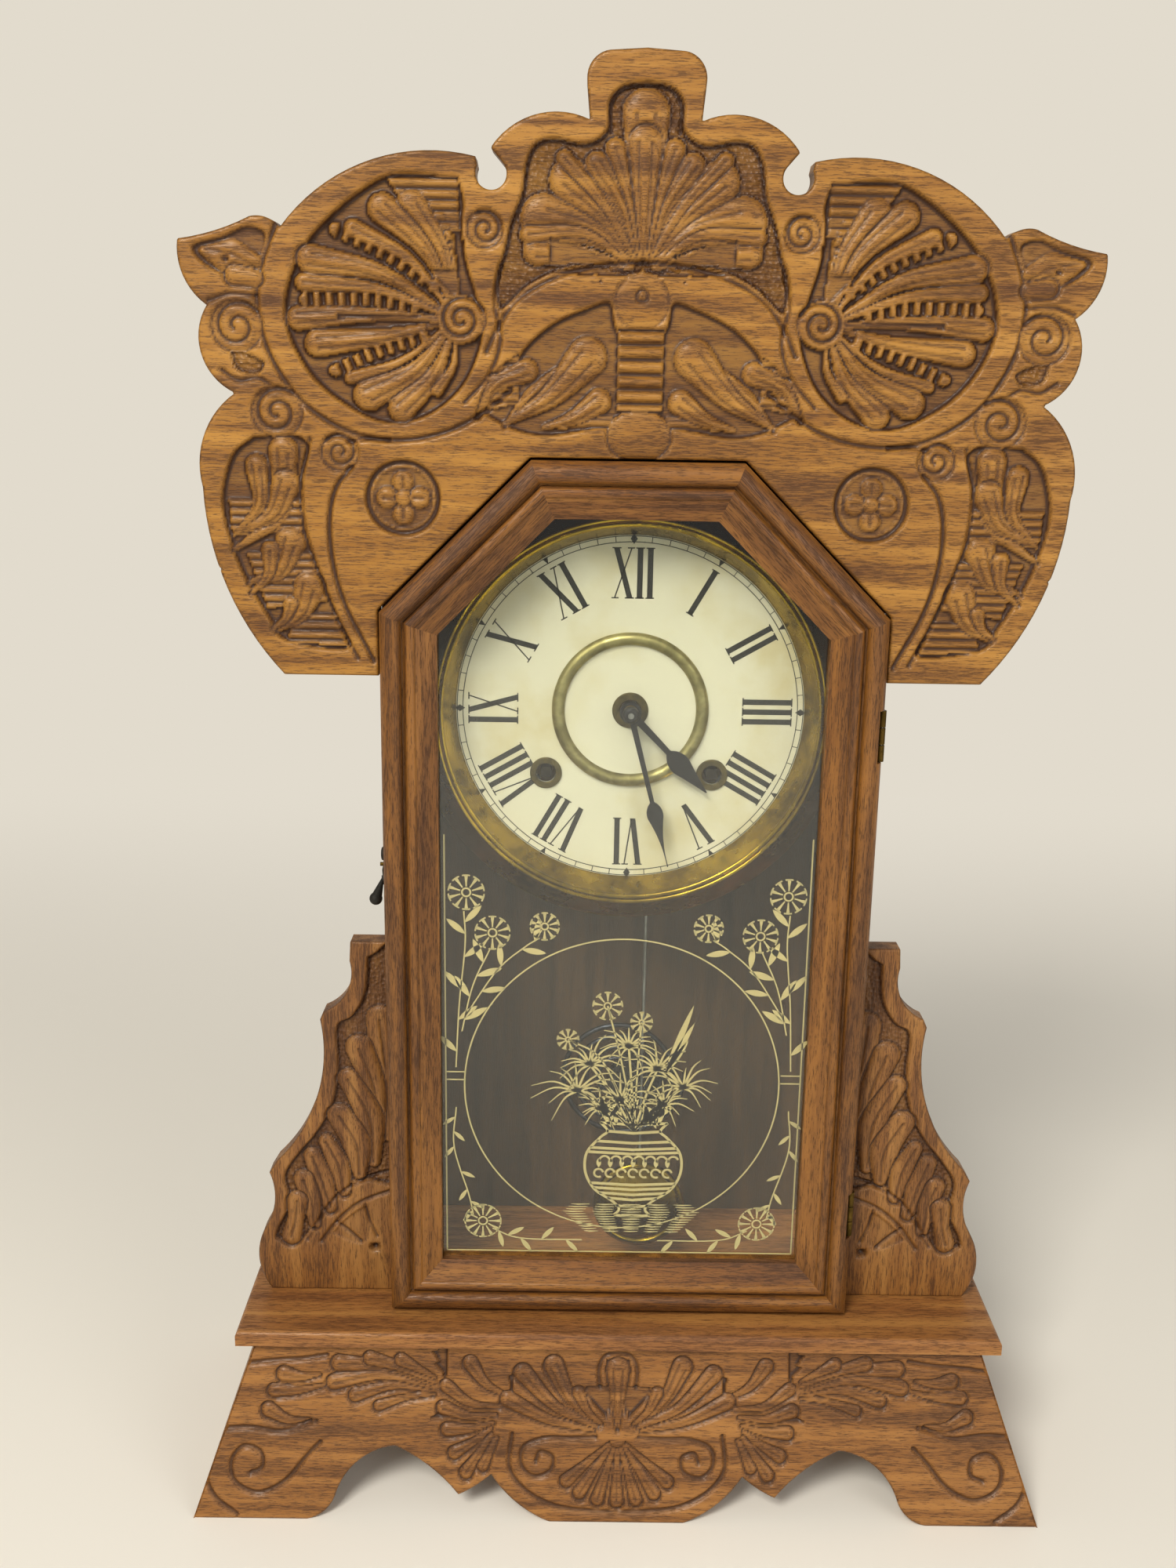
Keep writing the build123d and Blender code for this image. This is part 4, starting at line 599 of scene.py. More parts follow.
def carve_crest(r):
    """The crest's carving for its left half; the right half mirrors it, as x is taken as minus its size."""
    r.x = -np.abs(r.x)
    # sunk fields: fan, palmette, under the hood, corner leaf, side lobe
    r.sink([(-65, 527), (-74, 530), (-90, 530), (-103, 523), (-115, 513), (-123, 503), (-128, 491),
            (-129, 480),
            (-125, 468), (-117, 457), (-106, 449), (-94, 444), (-82, 445), (-72, 450), (-64, 458), (-59, 468),
            (-57, 478), (-59.5, 490), (-62.5, 500), (-64.5, 512), (-63.5, 520)], 3.4)
    r.sink([(3, 562), (-8, 560.5), (-13.5, 555), (-14, 546), (-21, 541.5), (-32, 543), (-39, 541),
            (-42.5, 534),
            (-44, 524), (-48, 514), (-50, 505), (-53, 495), (-51, 484), (-40, 493), (-24, 499.5),
            (3, 501.5)], 3.0,
           stipple=1.0)
    r.sink([(-58, 448), (-50, 455), (-47, 463), (-43, 471), (-33, 480), (-20, 486), (-11, 488), (-8, 478),
            (3, 474),
            (3, 443), (-14, 443), (-33, 440), (-46, 442)], 2.6)
    r.sink([(-140, 490), (-157, 498), (-161, 505), (-150, 508.5), (-141, 512), (-134, 509), (-137, 499)], 2.0)
    r.sink([(-150, 471), (-142, 468.5), (-136, 465), (-139, 460.5), (-147, 462)], 1.8, stipple=1.0)
    r.sink([(-142, 439), (-150, 432), (-154.5, 416), (-152, 400), (-147, 386), (-139, 372), (-132, 362.5),
            (-108, 360), (-112, 372), (-118.5, 389), (-123.5, 405), (-124.5, 421), (-121, 435),
            (-127, 440)], 2.8)
    # ridges behind the fan's top and beside the leaves
    r.reeds([(-66, 529), (-92, 529.5), (-80, 511), (-65.5, 511)], 3.7, -3.0, -0.9)
    r.reeds([(-129, 373), (-112.5, 373), (-108.5, 361), (-132, 362.5)], 3.6, -2.6, -0.4)
    r.reeds([(-152, 416), (-125, 416), (-125, 404), (-151, 402)], 3.2, -2.7, -0.9)
    r.reeds([(-146, 396), (-121, 396), (-116, 378), (-139, 375)], 3.2, -2.7, -0.9)
    r.reeds([(-55, 462), (-44, 470), (-44, 452), (-57, 449)], 3.4, -2.5, -0.8)
    r.reeds([(-27, 448), (-10, 448), (-10, 443.5), (-30, 443)], 3.0, -2.4, -0.8)
    # the fan's feathers
    boss = (-65.0, 481.0)
    for tip, wide, bend in (((-70, 509), 2.6, 0.0), ((-82.5, 519), 6.0, -3.0), ((-93, 518.5), 5.4, -4.0),
                            ((-103.5, 511.5), 3.4, -4.5), ((-119, 501), 5.2, -4.5),
                            ((-121.5, 493), 3.4, -3.5),
                            ((-124, 480.5), 4.4, -1.5), ((-117, 472), 5.0, 1.5), ((-105.5, 460), 2.4, 3.0),
                            ((-99, 454), 5.8, 3.5), ((-87, 449.5), 5.2, 3.0), ((-74, 456), 2.2, 2.5)):
        r.feather(boss, tip, wide, bend, 6.0)
    r.rungs([(-75, 492.5), (-91, 502.5), (-110, 511)], 2.3, 4.4, -3.4, -0.6)
    r.rungs([(-82, 485.5), (-100, 487.5), (-121, 487)], 2.3, 4.4, -3.4, -0.6)
    r.rungs([(-79, 474.5), (-95, 469.5), (-111, 462.5)], 2.2, 4.2, -3.4, -0.6)
    r.scroll(*boss, 8.5, 1.8, 0.4, 1, top=0.0, width=1.0, deep=1.7)
    r.scroll(-56.5, 512, 6.2, 1.5, 2.0, -1)
    # the palmette, from its outer leaves to the middle one
    root = (0.0, 499.0)
    for tip, wide, bend in (((-38, 505), 5.2, -1.5), ((-35.5, 516), 8.6, -3.5), ((-41, 510.5), 3.2, -6.0),
                            ((-26.5, 529), 7.4, -2.5), ((-28.5, 536), 3.0, -2.0), ((-17, 534.5), 4.2, -2.5),
                            ((-10.5, 539.5), 3.8, -1.5), ((0, 551), 8.6, 0.0), ((0, 541.5), 6.4, 0.0)):
        r.feather(root, tip, wide, bend, 4.0)
    r.groove([(-12, 545), (-12.5, 553), (-8, 559), (2, 560.5)], 0.9, 0.8)
    # hood, its knob, rungs and leaves
    r.groove([(-56, 470), (-51.5, 479), (-44, 489), (-30, 496.5), (-14, 500.5), (2, 501.5)], 1.3, 1.6)
    r.lobe([(2, 488), (-0.01, 488)], 9.6, 0.0, 0.9, smooth=False)
    r.groove(spiral_path(0, 489.5, 3.2, 0.9, 0.5, 1), 0.9, 1.4, smooth=False)
    r.reeds([(-8.5, 478.5), (3, 478.5), (3, 450), (-8.5, 450)], 5.2, -2.7, -0.1)
    for start, tip, wide, bend in (((-60, 446), (-41.5, 463.5), 4.4, 4.0),
                                   ((-36, 443), (-15, 453), 4.8, -1.5),
                                   ((-50, 443), (-27, 462.5), 4.2, 2.5),
                                   ((-50, 444), (-19.5, 468.5), 7.4, -2.5)):
        r.feather(start, tip, wide, bend, 1.0)
    r.lobe([(2, 441), (-3, 441)], 8.6, -0.2, 1.2, smooth=False)
    # the long S line under the fan and round its band
    r.groove([(-131, 512), (-136, 500), (-138.5, 488), (-137, 475), (-132, 463), (-124, 452), (-113, 444),
              (-100, 439), (-84, 438.5), (-68, 442.5), (-55, 450), (-47, 457)], 1.3, 1.7)
    r.groove([(-51, 500), (-53, 488), (-51, 474), (-55, 462), (-64, 452)], 1.1, 1.5)
    # scrolls and leaf at the left shoulder
    r.scroll(-146.0, 477.5, 9.0, 1.5, 0.6, 1)
    r.lobe([(-138, 500), (-147, 501), (-157, 503)], (2.0, 6.4, 1.6), -0.2, 1.6)
    r.lobe([(-139, 494), (-146, 495)], (3.0, 3.8), -0.2, 1.6)
    r.groove([(-139, 498), (-147, 502), (-156, 503.5)], 0.8, 0.8)
    r.groove([(-149.5, 500.5), (-149, 500.5)], 1.5, 1.8, smooth=False)
    r.groove([(-156, 486), (-148, 488.5), (-139, 488)], 1.1, 1.4)
    r.groove([(-152, 462), (-146, 458.5), (-139, 459.5), (-132, 455)], 1.1, 1.4)
    r.scroll(-132.5, 447.5, 9.0, 1.6, 0.9, 1, width=1.1)
    r.scroll(-110, 433.5, 6.6, 1.5, 2.4, -1)
    # side lobe: leaves, curved band and plain spandrel
    for start, tip, wide, bend in (((-151, 396), (-131, 433.5), 5.6, -9.0),
                                   ((-150, 402), (-141, 428), 4.4, -5.0),
                                   ((-147, 404), (-130.5, 421.5), 5.6, -4.0),
                                   ((-146, 384), (-129.5, 400), 6.0, -4.5),
                                   ((-145, 380), (-137, 397), 3.6, -3.0),
                                   ((-136, 366), (-123, 383.5), 6.2, -3.0),
                                   ((-137, 367), (-130, 377), 3.0, -1.5)):
        r.feather(start, tip, wide, bend, 1.0)
    r.groove([(-121, 438), (-124.5, 422), (-123.5, 405), (-118.5, 388), (-111.5, 370), (-105, 357)], 1.2, 1.5)
    r.groove([(-106, 428), (-112, 420), (-114.5, 408), (-113.5, 392), (-109, 376), (-101, 360), (-99, 356)],
             1.3,
             1.8)
    r.groove([(-107, 437), (-100, 438.5), (-92, 438)], 1.2, 1.2)
    # medallion
    angle = np.linspace(0, 2 * math.pi, 40)
    r.groove(np.column_stack([-87 + 12.8 * np.cos(angle), 417.2 + 12.8 * np.sin(angle)]), 1.6, 2.6,
             smooth=False)
    spot, share, _, _, _ = r.near([(-87, 417.2), (-86.99, 417.2)], 11.4)
    r.depth[spot] = np.where(share < 1, -2.2, r.depth[spot])
    for dx, dz in ((6, 0), (-6, 0), (0, 6), (0, -6)):
        r.lobe([(-87 + dx, 417.2 + dz), (-87 + dx + 0.01, 417.2 + dz)], 4.0, -0.3, 1.8, smooth=False)
        r.groove([(-87 + dx * 0.7, 417.2 + dz * 0.7), (-87 + dx * 1.2, 417.2 + dz * 1.2)], 1.2, 1.0,
                 smooth=False)
    r.lobe([(-87, 417.2), (-86.99, 417.2)], 3.0, 0.0, 1.5, smooth=False)


def carve_wing(r):
    """The left wing's carving; the right wing mirrors it because x is taken as minus its size."""
    r.x = -np.abs(r.x)
    r.sink([(-106, 231), (-107.5, 215), (-113, 205), (-119.5, 200), (-119.5, 182), (-122, 166), (-129, 152),
            (-137, 142), (-143.5, 131), (-142, 118), (-147.5, 105), (-147, 100), (-136, 100), (-124, 119),
            (-112, 129), (-90, 136), (-90, 233)], 2.6, stipple=0.8)
    r.sink([(-124, 104), (-113, 99), (-107, 103), (-108, 117), (-117, 112)], 0.7)
    for path, wide in (([(-98, 150), (-99, 180), (-101, 203)], (3.0, 6.0, 6.2)),
                       ([(-103, 148), (-104, 172), (-110, 190)], (3.0, 5.0, 6.0)),
                       ([(-105, 138), (-106, 158), (-115, 176)], (3.0, 6.0, 4.6)),
                       ([(-111, 132), (-112, 146), (-119, 159)], (3.0, 6.4, 5.4)),
                       ([(-118, 124), (-120, 136), (-125, 147)], (3.0, 4.8, 3.4)),
                       ([(-124, 116), (-127, 128), (-131, 140)], (3.0, 4.8, 4.0)),
                       ([(-131, 108), (-132, 119), (-135, 129)], (2.6, 4.2, 4.4)),
                       ([(-141, 102), (-139, 110), (-138, 119)], (4.4, 3.6, 4.4))):
        r.lobe(path, wide, -0.1, 2.0)
        r.groove(path, 0.8, 0.9)
    r.groove([(-134, 101), (-123, 119), (-111, 128.5), (-94, 134)], 1.1, 1.3)
    r.groove([(-128, 100), (-120, 111), (-110, 119.5), (-94, 126)], 1.1, 1.3)
    r.groove([(-121, 109), (-116, 105), (-111, 100)], 1.0, 1.2)
    r.groove([(-109, 118), (-107, 110), (-104, 103)], 1.0, 1.2)
    r.lobe([(-105, 97.5), (-104.99, 97.5)], 0.3, -0.2, 0.5, smooth=False)
    r.groove([(-105.3, 97.5), (-104.7, 97.5)], 2.4, 2.4, smooth=False)


def carve_apron(r):
    """The apron's shallow incised scrolls and leaves for its left half, mirrored on the right."""
    r.x = -np.abs(r.x)
    # plumes that sweep out from the middle and down to the pendants
    for start, tip, wide, bend in (
            ((-76, 49), (-100, 44), 2.4, -1.0), ((-76, 50), (-110, 48), 3.0, -3.0),
            ((-76, 51), (-119, 53), 3.4, -4.0),
            ((-76, 52), (-117, 60.5), 3.6, -3.0), ((-76, 53), (-104, 62.5), 3.2, -1.0),
            ((-76, 55), (-91, 62), 3.0, 0.0),
            ((-124, 56), (-140, 56), 3.4, 1.0), ((-122, 52), (-144, 49.5), 3.0, 1.0),
            ((-128, 38), (-146, 42), 3.4, 2.0),
            ((-46, 48), (-62, 61), 3.4, 2.0), ((-48, 44), (-72, 52), 3.0, 3.0),
            ((-50, 41), (-73, 43.5), 3.2, 2.0),
            ((-51, 38), (-71, 35), 3.2, 1.0), ((-52, 36), (-68, 26), 3.0, 0.5),
            ((-52, 34), (-63, 18.5), 3.0, 0.0),
            ((-50, 33), (-56, 21), 2.6, 0.0), ((-9, 35), (-46, 47), 3.6, 2.0),
            ((-8, 36), (-40, 57.5), 4.0, 3.0),
            ((-7, 37), (-27, 60.5), 4.4, 3.0), ((-6, 37), (-16.5, 50), 2.8, 1.5)):
        r.feather(start, tip, wide, bend, 1.0)
    # shell under the bud, its basket and volutes
    for tip in ((-21, 15.5), (-15.5, 11), (-8, 8.5)):
        r.feather((0, 33), tip, 3.0, 0.0, 5.0)
    r.feather((0, 33), (0, 8), 3.2, 0.0, 5.0)
    r.feather((0, 34), (0, 59), 5.2, 0.0, 2.0)
    for path in (
            [(-124, 30), (-130, 24), (-138, 15), (-149, 10), (-159, 14), (-161, 22), (-156, 28), (-149, 26),
             (-148, 20), (-153, 17.5)],
            [(-168, 29), (-172, 20), (-168, 9), (-158, 1.5)],
            [(-168, 34.5), (-154, 35.5), (-140, 34), (-126, 38)],
            [(-157, 60), (-146, 61.5), (-132, 62.5), (-122, 64)],
            [(-44, 34), (-45, 21), (-38, 12), (-26, 6.2), (-12, 4.4), (2, 4)],
            [(-9, 33), (-20, 32.5), (-30, 32.5), (-39, 29), (-40, 22), (-35, 17.5), (-28, 19.5), (-27, 25),
             (-32, 27),
             (-34, 23.5)],
            [(2, 66), (-5, 65), (-8, 60), (-7.5, 52)]):
        r.groove(path, 1.3, 1.5)


crest_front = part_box("crest_board")[0][1] / MM
crest_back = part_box("crest_board")[1][1] / MM
crest = carved_board("crest_carved", "crest_board", 0.72, lambda x, z: crest_front, crest_back - crest_front,
                     carve_crest, oak_crest)
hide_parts("crest_board")
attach(crest, "root")
for node in ("wing_left", "wing_right"):
    low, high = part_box(node)
    wing = carved_board(node + "_carved", node, 0.55, lambda x, z, front=low[1] / MM: front,
                        (high[1] - low[1]) / MM, carve_wing, oak_wing)
    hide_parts(node)
    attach(wing, "root")

low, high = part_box("apron_front")
APRON_FOOT_Y, APRON_TOP_Y, APRON_TOP_Z = -63.5, -40.9, 70.6
apron_slope = (APRON_TOP_Y - APRON_FOOT_Y) / APRON_TOP_Z
apron_thick = high[1] / MM - APRON_TOP_Y


def apron_mitre(x, z):
    """How far the back edge draws in at a mitred end: the board's thickness, within a few mm of the end."""
    end = 176.0 - (176.0 - 151.6) * z / APRON_TOP_Z
    return apron_thick * np.clip(1 - (end - x) / 4.0, 0, 1)


apron = carved_board("apron_carved", "apron_front", 0.66, lambda x, z: APRON_FOOT_Y + apron_slope * z,
                     apron_thick,
                     carve_apron, oak_base, mitre=apron_mitre)
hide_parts("apron_front")
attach(apron, "root")


# Print on the dial and stencil on the glass

def flat_plates(name, shapes, y, thick, material):
    """Thin plates cut to closed shapes in x and z: a front, a back and one side for each edge of a shape."""
    spots, faces, base = [], [], 0
    for shape in shapes:
        shape = np.array(shape, float)
        x, z = shape[:, 0], shape[:, 1]
        if np.sum(x * np.roll(z, -1) - np.roll(x, -1) * z) < 0:
            shape = shape[::-1]
        n = len(shape)
        here, after = base + np.arange(n), base + (np.arange(n) + 1) % n
        for level in (y, y + thick):
            spots.append(np.column_stack([shape[:, 0], np.full(n, level), shape[:, 1]]))
        faces += [here.tolist(), (here[::-1] + n).tolist()]
        faces += np.column_stack([after, here, here + n, after + n]).tolist()
        base += 2 * n
    mesh = bpy.data.meshes.new(name)
    mesh.from_pydata((np.vstack(spots) * MM).tolist(), [], faces)
    piece = bpy.data.objects.new(name, mesh)
    bpy.context.scene.collection.objects.link(piece)
    dress(piece, material)
    return piece


def ribbon(points, width):
    """A line of even or changing width as one closed shape: its two sides, offset square to the path."""
    p = np.array(points, float)
    slope = np.gradient(p, axis=0)
    slope /= np.maximum(np.linalg.norm(slope, axis=1), 1e-9)[:, None]
    square = np.column_stack([-slope[:, 1], slope[:, 0]])
    half = np.broadcast_to(np.array(width, float) / 2, (len(p),))[:, None]
    return np.vstack([p + square * half, (p - square * half)[::-1]])


def arc(x, z, radius, start, end, count=24):
    """Points of a circle's arc, with angles in degrees from the viewer's right."""
    angle = np.radians(np.linspace(start, end, count))
    return np.column_stack([x + radius * np.cos(angle), z + radius * np.sin(angle)])


def turned_about(shape, x, z, degrees):
    """A shape turned clockwise about a point."""
    a = math.radians(degrees)
    s = np.array(shape, float)
    return np.column_stack([x + s[:, 0] * math.cos(a) + s[:, 1] * math.sin(a),
                            z - s[:, 0] * math.sin(a) + s[:, 1] * math.cos(a)])


def stroke(u0, v0, u1, v1, width):
    """A letter's stroke with level ends: a parallelogram of one width."""
    return [(u0 - width / 2, v0), (u0 + width / 2, v0), (u1 + width / 2, v1), (u1 - width / 2, v1)]


DIAL_X = 0.0
DIAL_Z = (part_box("bezel_ring")[0][2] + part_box("bezel_ring")[1][2]) / 2 / MM
NUMERALS = ["XII", "I", "II", "III", "IIII", "V", "VI", "VII", "VIII", "IX", "X", "XI"]
# radii of the numerals' feet and heads and of the minute ladder, widths of strokes, and each letter's room
FOOT_R, HEAD_R = 45.0, 64.5
LADDER_IN, LADDER_OUT, LADDER_LINE, TICK = 66.9, 69.2, 0.35, 0.32
THICK, THIN, SERIF = 2.2, 0.55, 0.5
ADVANCE = {"I": 4.0, "V": 8.6, "X": 9.2}


def numeral(text):
    """A roman numeral standing on the inner circle: thick uprights, one thick and one thin slope, and
    hairline serifs."""
    wide = sum(ADVANCE[c] for c in text)
    u = -wide / 2
    shapes = []
    for c in text:
        a = ADVANCE[c]
        if c == "I":
            shapes.append(stroke(u + a / 2, FOOT_R, u + a / 2, HEAD_R, THICK))
            edges = [(u + 0.3, u + a - 0.3, FOOT_R), (u + 0.3, u + a - 0.3, HEAD_R)]
        elif c == "V":
            shapes += [stroke(u + a / 2, FOOT_R, u + 1.7, HEAD_R, THICK),
                       stroke(u + a / 2 + 0.4, FOOT_R, u + a - 1.2, HEAD_R, THIN)]
            edges = [(u + 0.1, u + 3.6, HEAD_R), (u + a - 2.8, u + a - 0.1, HEAD_R)]
        else:
            shapes += [stroke(u + a - 1.9, FOOT_R, u + 1.9, HEAD_R, THICK),
                       stroke(u + 1.4, FOOT_R, u + a - 1.4, HEAD_R, THIN)]
            edges = [(u + 0.2, u + 3.8, HEAD_R), (u + a - 3.0, u + a - 0.2, HEAD_R),
                     (u + 0.2, u + 3.0, FOOT_R),
                     (u + a - 3.8, u + a - 0.2, FOOT_R)]
        half = SERIF / 2
        shapes += [[(p, v - half), (q, v - half), (q, v + half), (p, v + half)] for p, q, v in edges]
        u += a
    return shapes


def dial_shapes():
    """The minute ladder, its marks and the twelve numerals."""
    shapes = []
    for radius in (LADDER_IN, LADDER_OUT):
        for k in range(36):
            shapes.append(ribbon(arc(DIAL_X, DIAL_Z, radius, 10 * k, 10 * k + 10, 6), LADDER_LINE))
    tick = stroke(0, LADDER_IN, 0, LADDER_OUT, TICK)
    for minute in range(60):
        shapes.append(turned_about(tick, DIAL_X, DIAL_Z, 6 * minute))
    lozenge = [(-1.4, 68.1), (0, 66.0), (1.4, 68.1), (0, 70.2)]
    wedge = [(-1.1, LADDER_OUT), (0, 66.6), (1.1, LADDER_OUT)]
    for hour, text in enumerate(NUMERALS):
        mark = wedge if hour % 3 else lozenge
        shapes.append(turned_about(mark, DIAL_X, DIAL_Z, 30 * hour))
        shapes += [turned_about(shape, DIAL_X, DIAL_Z, 30 * hour) for shape in numeral(text)]
    return shapes


paper_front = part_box("dial_paper")[0][1] / MM
dial_print = flat_plates("dial_print", dial_shapes(), paper_front - 0.06, 0.05, ink)
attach(dial_print, "root")

STENCIL_LEFT, STENCIL_RIGHT, STENCIL_FOOT, STENCIL_HEAD = -73.2, 73.2, 101.5, 286.0
RING_X, RING_Z, RING_R = -0.5, 178.0, 65.0
URN_X = 5.0
LINE = 0.6


def leaf(x, z, length, wide, degrees):
    """A pointed leaf as one shape: its width is a sine along its length."""
    t = np.linspace(0, 1, 9)
    side = wide / 2 * np.sin(math.pi * t) ** 0.8
    shape = np.vstack([np.column_stack([side, t * length]), np.column_stack([-side, t * length])[::-1][1:-1]])
    return turned_about(shape, x, z, degrees)


def blossom(x, z, radius, petals):
    """A rosette seen face on: petals round an open eye."""
    shapes = []
    for turn in 360 * np.arange(petals) / petals:
        petal = ribbon([(0, 0.34 * radius), (0, 0.6 * radius), (0, radius)], (0.5, 0.7, 1.5))
        shapes.append(turned_about(petal, x, z, turn))
        shapes.append(ribbon(arc(x, z, radius, 90 - turn - 13, 90 - turn + 13, 5), 0.6))
    return shapes + [ribbon(arc(x, z, radius * 0.24, 180 * k, 180 * k + 180, 8), 0.7) for k in (0, 1)]


def sprig(points, leaves, long, side=1):
    """A stem along a smooth line with leaves to left and right by turns."""
    path = curve(points, 8)
    shapes = [ribbon(path, 0.55)]
    for k in range(leaves):
        at = int((k + 0.7) / leaves * (len(path) - 2))
        step = path[at + 1] - path[at]
        lean = math.degrees(math.atan2(step[0], step[1])) + side * (48 if k % 2 else -48)
        shapes.append(leaf(path[at][0], path[at][1], long, long * 0.26, lean))
    return shapes


def border():
    """Lines down both sides and along the foot, a ring, and two short bars from the ring to each side."""
    middle = (STENCIL_HEAD + STENCIL_FOOT) / 2
    sides = (STENCIL_LEFT, STENCIL_RIGHT)
    shapes = [ribbon([(x, STENCIL_HEAD), (x, middle), (x, STENCIL_FOOT)], LINE) for x in sides]
    shapes.append(ribbon([(x, STENCIL_FOOT) for x in (STENCIL_LEFT, 0, STENCIL_RIGHT)], LINE))
    shapes += [ribbon(arc(RING_X, RING_Z, RING_R, 15 * k, 15 * k + 15, 7), LINE) for k in range(24)]
    for side, z in ((-1, 180.5), (-1, 184.0), (1, 180.5), (1, 184.0)):
        shapes.append(ribbon([(side * 65.0, z), (side * 69.0, z), (side * 73.2, z)], 0.55))
    return shapes


def corner_flowers(side):
    """Sprigs and rosettes that climb the upper corner and turn round the lower one."""
    shapes = sprig([(side * 66.5, 202), (side * 62, 222), (side * 55, 238)], 4, 11.0, side)
    shapes += sprig([(side * 69, 186), (side * 67.5, 214), (side * 65, 240), (side * 65.5, 254)], 6, 10.0,
                    -side)
    shapes += sprig([(side * 65, 209), (side * 52, 229), (side * 41, 239), (side * 35, 243)], 4, 10.0, side)
    shapes += sprig([(side * 69, 168), (side * 70, 150), (side * 64, 128), (side * 62, 118)], 7, 6.5, side)
    shapes += sprig([(side * 54, 112), (side * 42, 107.5), (side * 16, 107)], 5, 8.0, side)
    for x, z, radius, petals in ((64.5, 262.0, 7.2, 10), (54, 245.0, 7.0, 10), (33, 248.0, 5.8, 10),
                                 (58, 115.5, 7.6, 12)):
        shapes += blossom(side * x, z, radius, petals)
    return shapes


def urn():
    """An urn in line work: its outline, level bands, a row of waves and darts, and its shade on the table."""
    profile = [(7.5, 119), (5.5, 122), (9, 126), (16, 131), (20, 139), (19.5, 148), (14, 155), (11, 158),
               (14, 162)]
    outline = curve(profile, 5)
    shapes = [ribbon(outline * (side, 1) + (URN_X, 0), 1.1) for side in (-1, 1)]
    for z, half in ((119, 7.5), (123.5, 7), (127, 10.5), (129.4, 14), (131.8, 16.4), (134, 18), (148.4, 19),
                    (150.4, 18), (153.4, 15.4), (158, 11.4), (161.8, 14)):
        shapes.append(ribbon([(URN_X - half, z), (URN_X, z - 0.9), (URN_X + half, z)], 1.2))
    for k in range(7):
        x = URN_X - 14.4 + 4.8 * k
        shapes.append(ribbon(arc(x, 138.6, 1.9, 10, 300, 12), 0.9))
        shapes.append(ribbon(arc(x + 2.4, 144.4, 2.1, 20, 200, 9), 0.9))
        shapes.append(leaf(x, 141.2, 4.4, 2.0, 0))
    for k in range(12):
        half, z = 29 - 1.1 * abs(k - 3), 124 - 1.15 * k
        for part in range(5):
            start = URN_X - half + part * half * 0.42
            dash = [(start, z), (start + half * 0.12, z - 0.15), (start + half * 0.3, z)]
            shapes.append(ribbon(dash, (0.2, 0.6, 0.2)))
    return shapes


def ferns():
    """Tufts of blades that arch from a few crowns over the urn, with fronds, small leaves and rosettes."""
    shapes = []
    drawn = np.random.default_rng(7)
    crowns = ((-24, 176, 19), (-19, 188, 17), (-3, 196, 15), (9, 186, 16), (20, 178, 17), (-6, 172, 15),
              (12, 170, 13), (-14, 168, 13))
    for out, z, size in crowns:
        x = URN_X + out
        for k in range(13):
            lean = math.radians(-150 + 25 * k + drawn.uniform(-7, 7))
            long = size * drawn.uniform(0.6, 1.1)
            right, rise = long * math.sin(lean), 0.8 * long * math.cos(lean)
            path = curve([(x, z), (x + 0.5 * right, z + 0.5 * rise + 0.16 * long), (x + right, z + rise)], 4)
            shapes.append(ribbon(path, np.linspace(1.1, 0.25, len(path))))
        shapes.append(ribbon(curve([(URN_X, 158), ((x + URN_X) / 2, (z + 162) / 2), (x, z)], 5), 0.9))
    for out, top in ((20, 217), (27, 210), (32, 202)):
        shapes.append(leaf(URN_X + 12, 184, top - 184, 2.6, out))
    for k in range(26):
        x = URN_X + drawn.uniform(-13, 13)
        shapes.append(leaf(x, 160 + drawn.uniform(-1, 6), drawn.uniform(6, 12), 2.0, drawn.uniform(-55, 55)))
    for out, z, size in ((-12, 214, 6.0), (-28, 199, 4.4), (2, 207, 4.4)):
        x = URN_X + out
        shapes.append(ribbon(curve([(URN_X, 160), ((x + URN_X) / 2, 190), (x, z)], 5), 0.7))
        shapes += blossom(x, z, size, 9)
    return shapes


def glass_shapes():
    """A plain design of the usual kind for such a pane: border, corners, and an urn of ferns in a ring."""
    return border() + corner_flowers(-1) + corner_flowers(1) + urn() + ferns()


pane_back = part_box("door_glass")[1][1] / MM
stencil = flat_plates("glass_stencil", glass_shapes(), pane_back + 0.02, 0.04, gilt)
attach(stencil, "door")

for node, material in FINISH.items():
    dress(nodes[node], material)


# Floor, backdrop and lamps

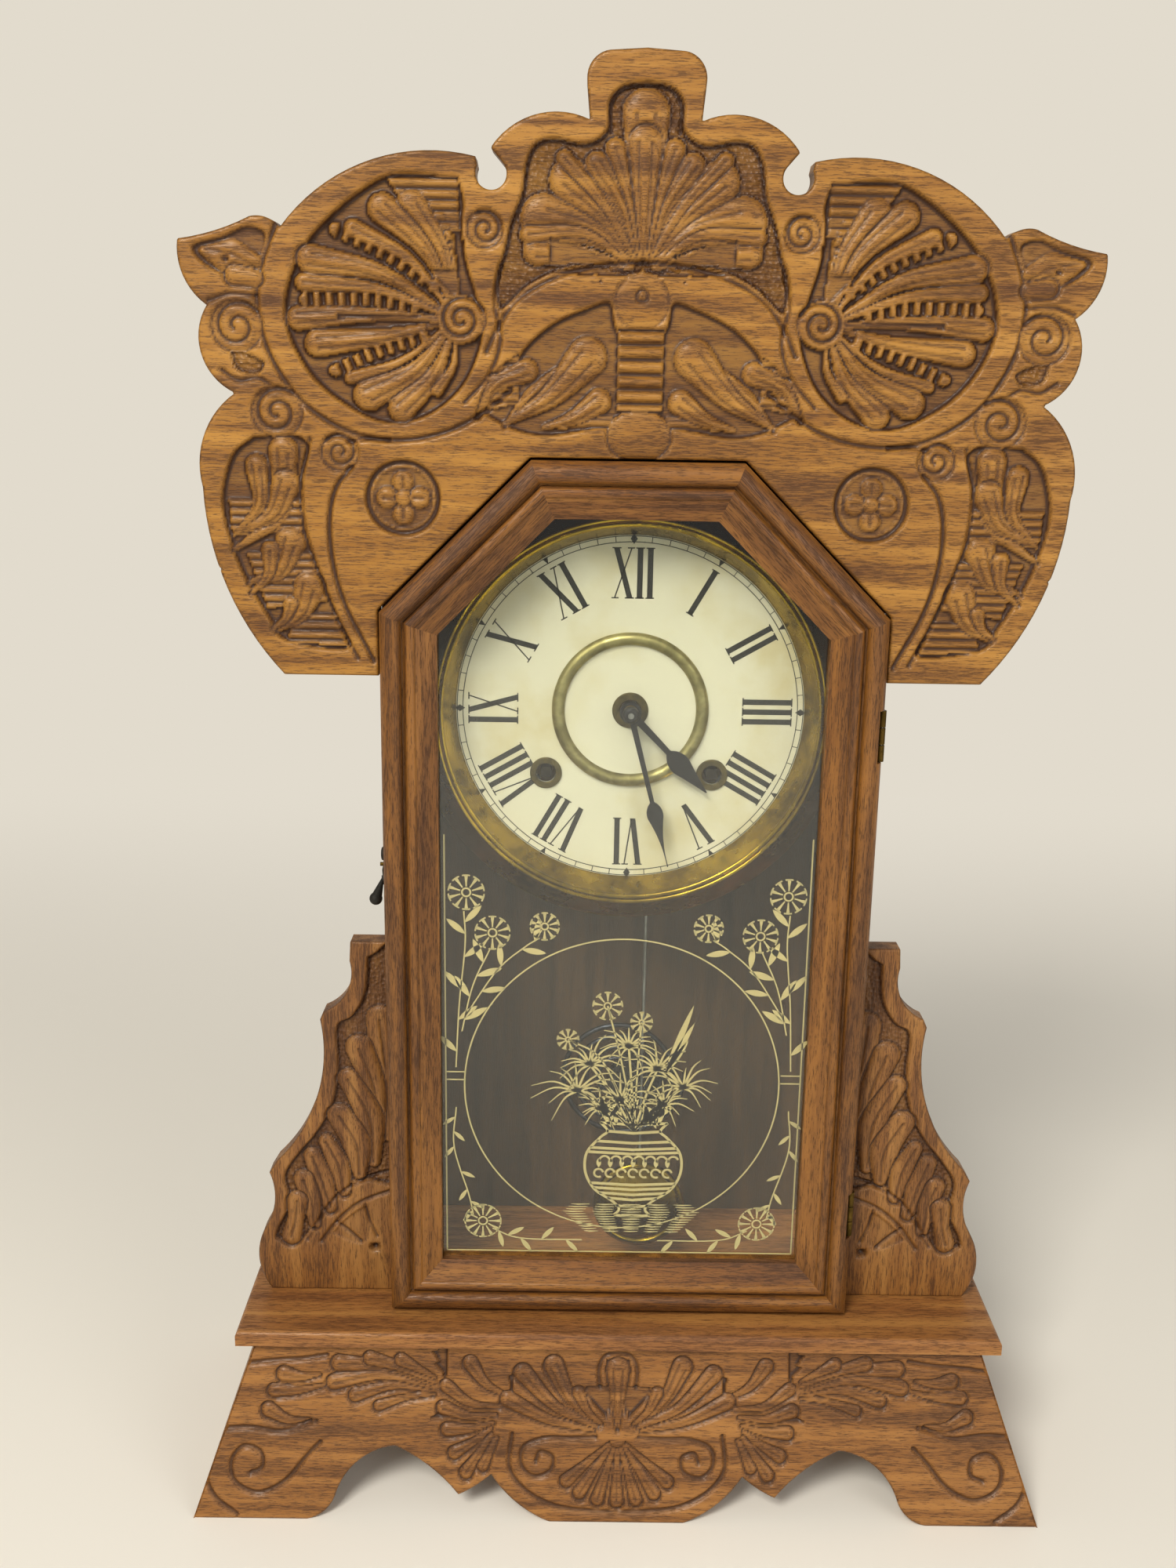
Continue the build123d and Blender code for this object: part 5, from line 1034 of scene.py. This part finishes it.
def sweep_cloth():
    """Floor and backdrop in one sheet: level to the bend, a quarter circle, then upright, 2.6 m behind
    the clock. Seen directly or mirrored it is evenly pale far off, and near the clock it takes light and
    shadow."""
    front, bend_y, bend_r, height, half = -4.0, 1.8, 0.8, 4.0, 5.0
    turn = np.linspace(0, math.pi / 2, 17)
    rows = [(front, 0.0), (-1.0, 0.0), (0.3, 0.0), (1.0, 0.0)]
    rows += list(zip(bend_y + bend_r * np.sin(turn), bend_r * (1 - np.cos(turn))))
    rows.append((bend_y + bend_r, height))
    spots = [(x, y, z) for y, z in rows for x in (-half, half)]
    faces = [(2 * k, 2 * k + 1, 2 * k + 3, 2 * k + 2) for k in range(len(rows) - 1)]
    mesh = bpy.data.meshes.new("floor_sheet")
    mesh.from_pydata(spots, [], faces)
    mesh.polygons.foreach_set("use_smooth", [True] * len(mesh.polygons))
    sheet = bpy.data.objects.new("floor_sheet", mesh)
    bpy.context.scene.collection.objects.link(sheet)
    # bleached cotton sheet, matt, faintly warm
    material, tree, shader = surface("cotton_sheet_white", "#F2EFE7", 0.9)
    place = add(tree, "ShaderNodeTexCoord").outputs["Object"]
    parts = add(tree, "ShaderNodeSeparateXYZ", {0: place})
    far = add(tree, "ShaderNodeMapRange", {"Value": parts.outputs[1], "From Min": 0.12, "From Max": 1.1},
              interpolation_type="SMOOTHSTEP")
    ray = add(tree, "ShaderNodeLightPath")
    seen = add(tree, "ShaderNodeMath", {0: ray.outputs["Is Camera Ray"], 1: ray.outputs["Is Glossy Ray"]},
               operation="MAXIMUM")
    seen = add(tree, "ShaderNodeMath", {0: seen.outputs[0], 1: ray.outputs["Is Transmission Ray"]},
               operation="MAXIMUM")
    share = add(tree, "ShaderNodeMath", {0: seen.outputs[0], 1: far.outputs[0]}, operation="MULTIPLY")
    glow = add(tree, "ShaderNodeEmission", {"Color": linear("#E2DBCD"), "Strength": 1.0})
    both = add(tree, "ShaderNodeMixShader", {0: share.outputs[0], 1: shader.outputs[0], 2: glow.outputs[0]})
    tree.links.new(both.outputs[0], tree.nodes["Material Output"].inputs["Surface"])
    dress(sheet, material)


sweep_cloth()
place_camera()
place_lamp("lamp_key", (-0.62, -1.35, 1.5), (0.0, 0.0, 0.2), 0.6, 31.0, (1.0, 0.95, 0.86))
place_lamp("lamp_fill", (1.1, -1.4, 0.7), (0.0, 0.0, 0.2), 1.0, 9.0, (1.0, 0.97, 0.92))
world = bpy.data.worlds.new("room")
world.use_nodes = True
world.node_tree.nodes["Background"].inputs[0].default_value = (0.86, 0.82, 0.76, 1.0)
world.node_tree.nodes["Background"].inputs[1].default_value = 0.40
bpy.context.scene.world = world
bpy.context.scene.view_settings.view_transform = "Standard"
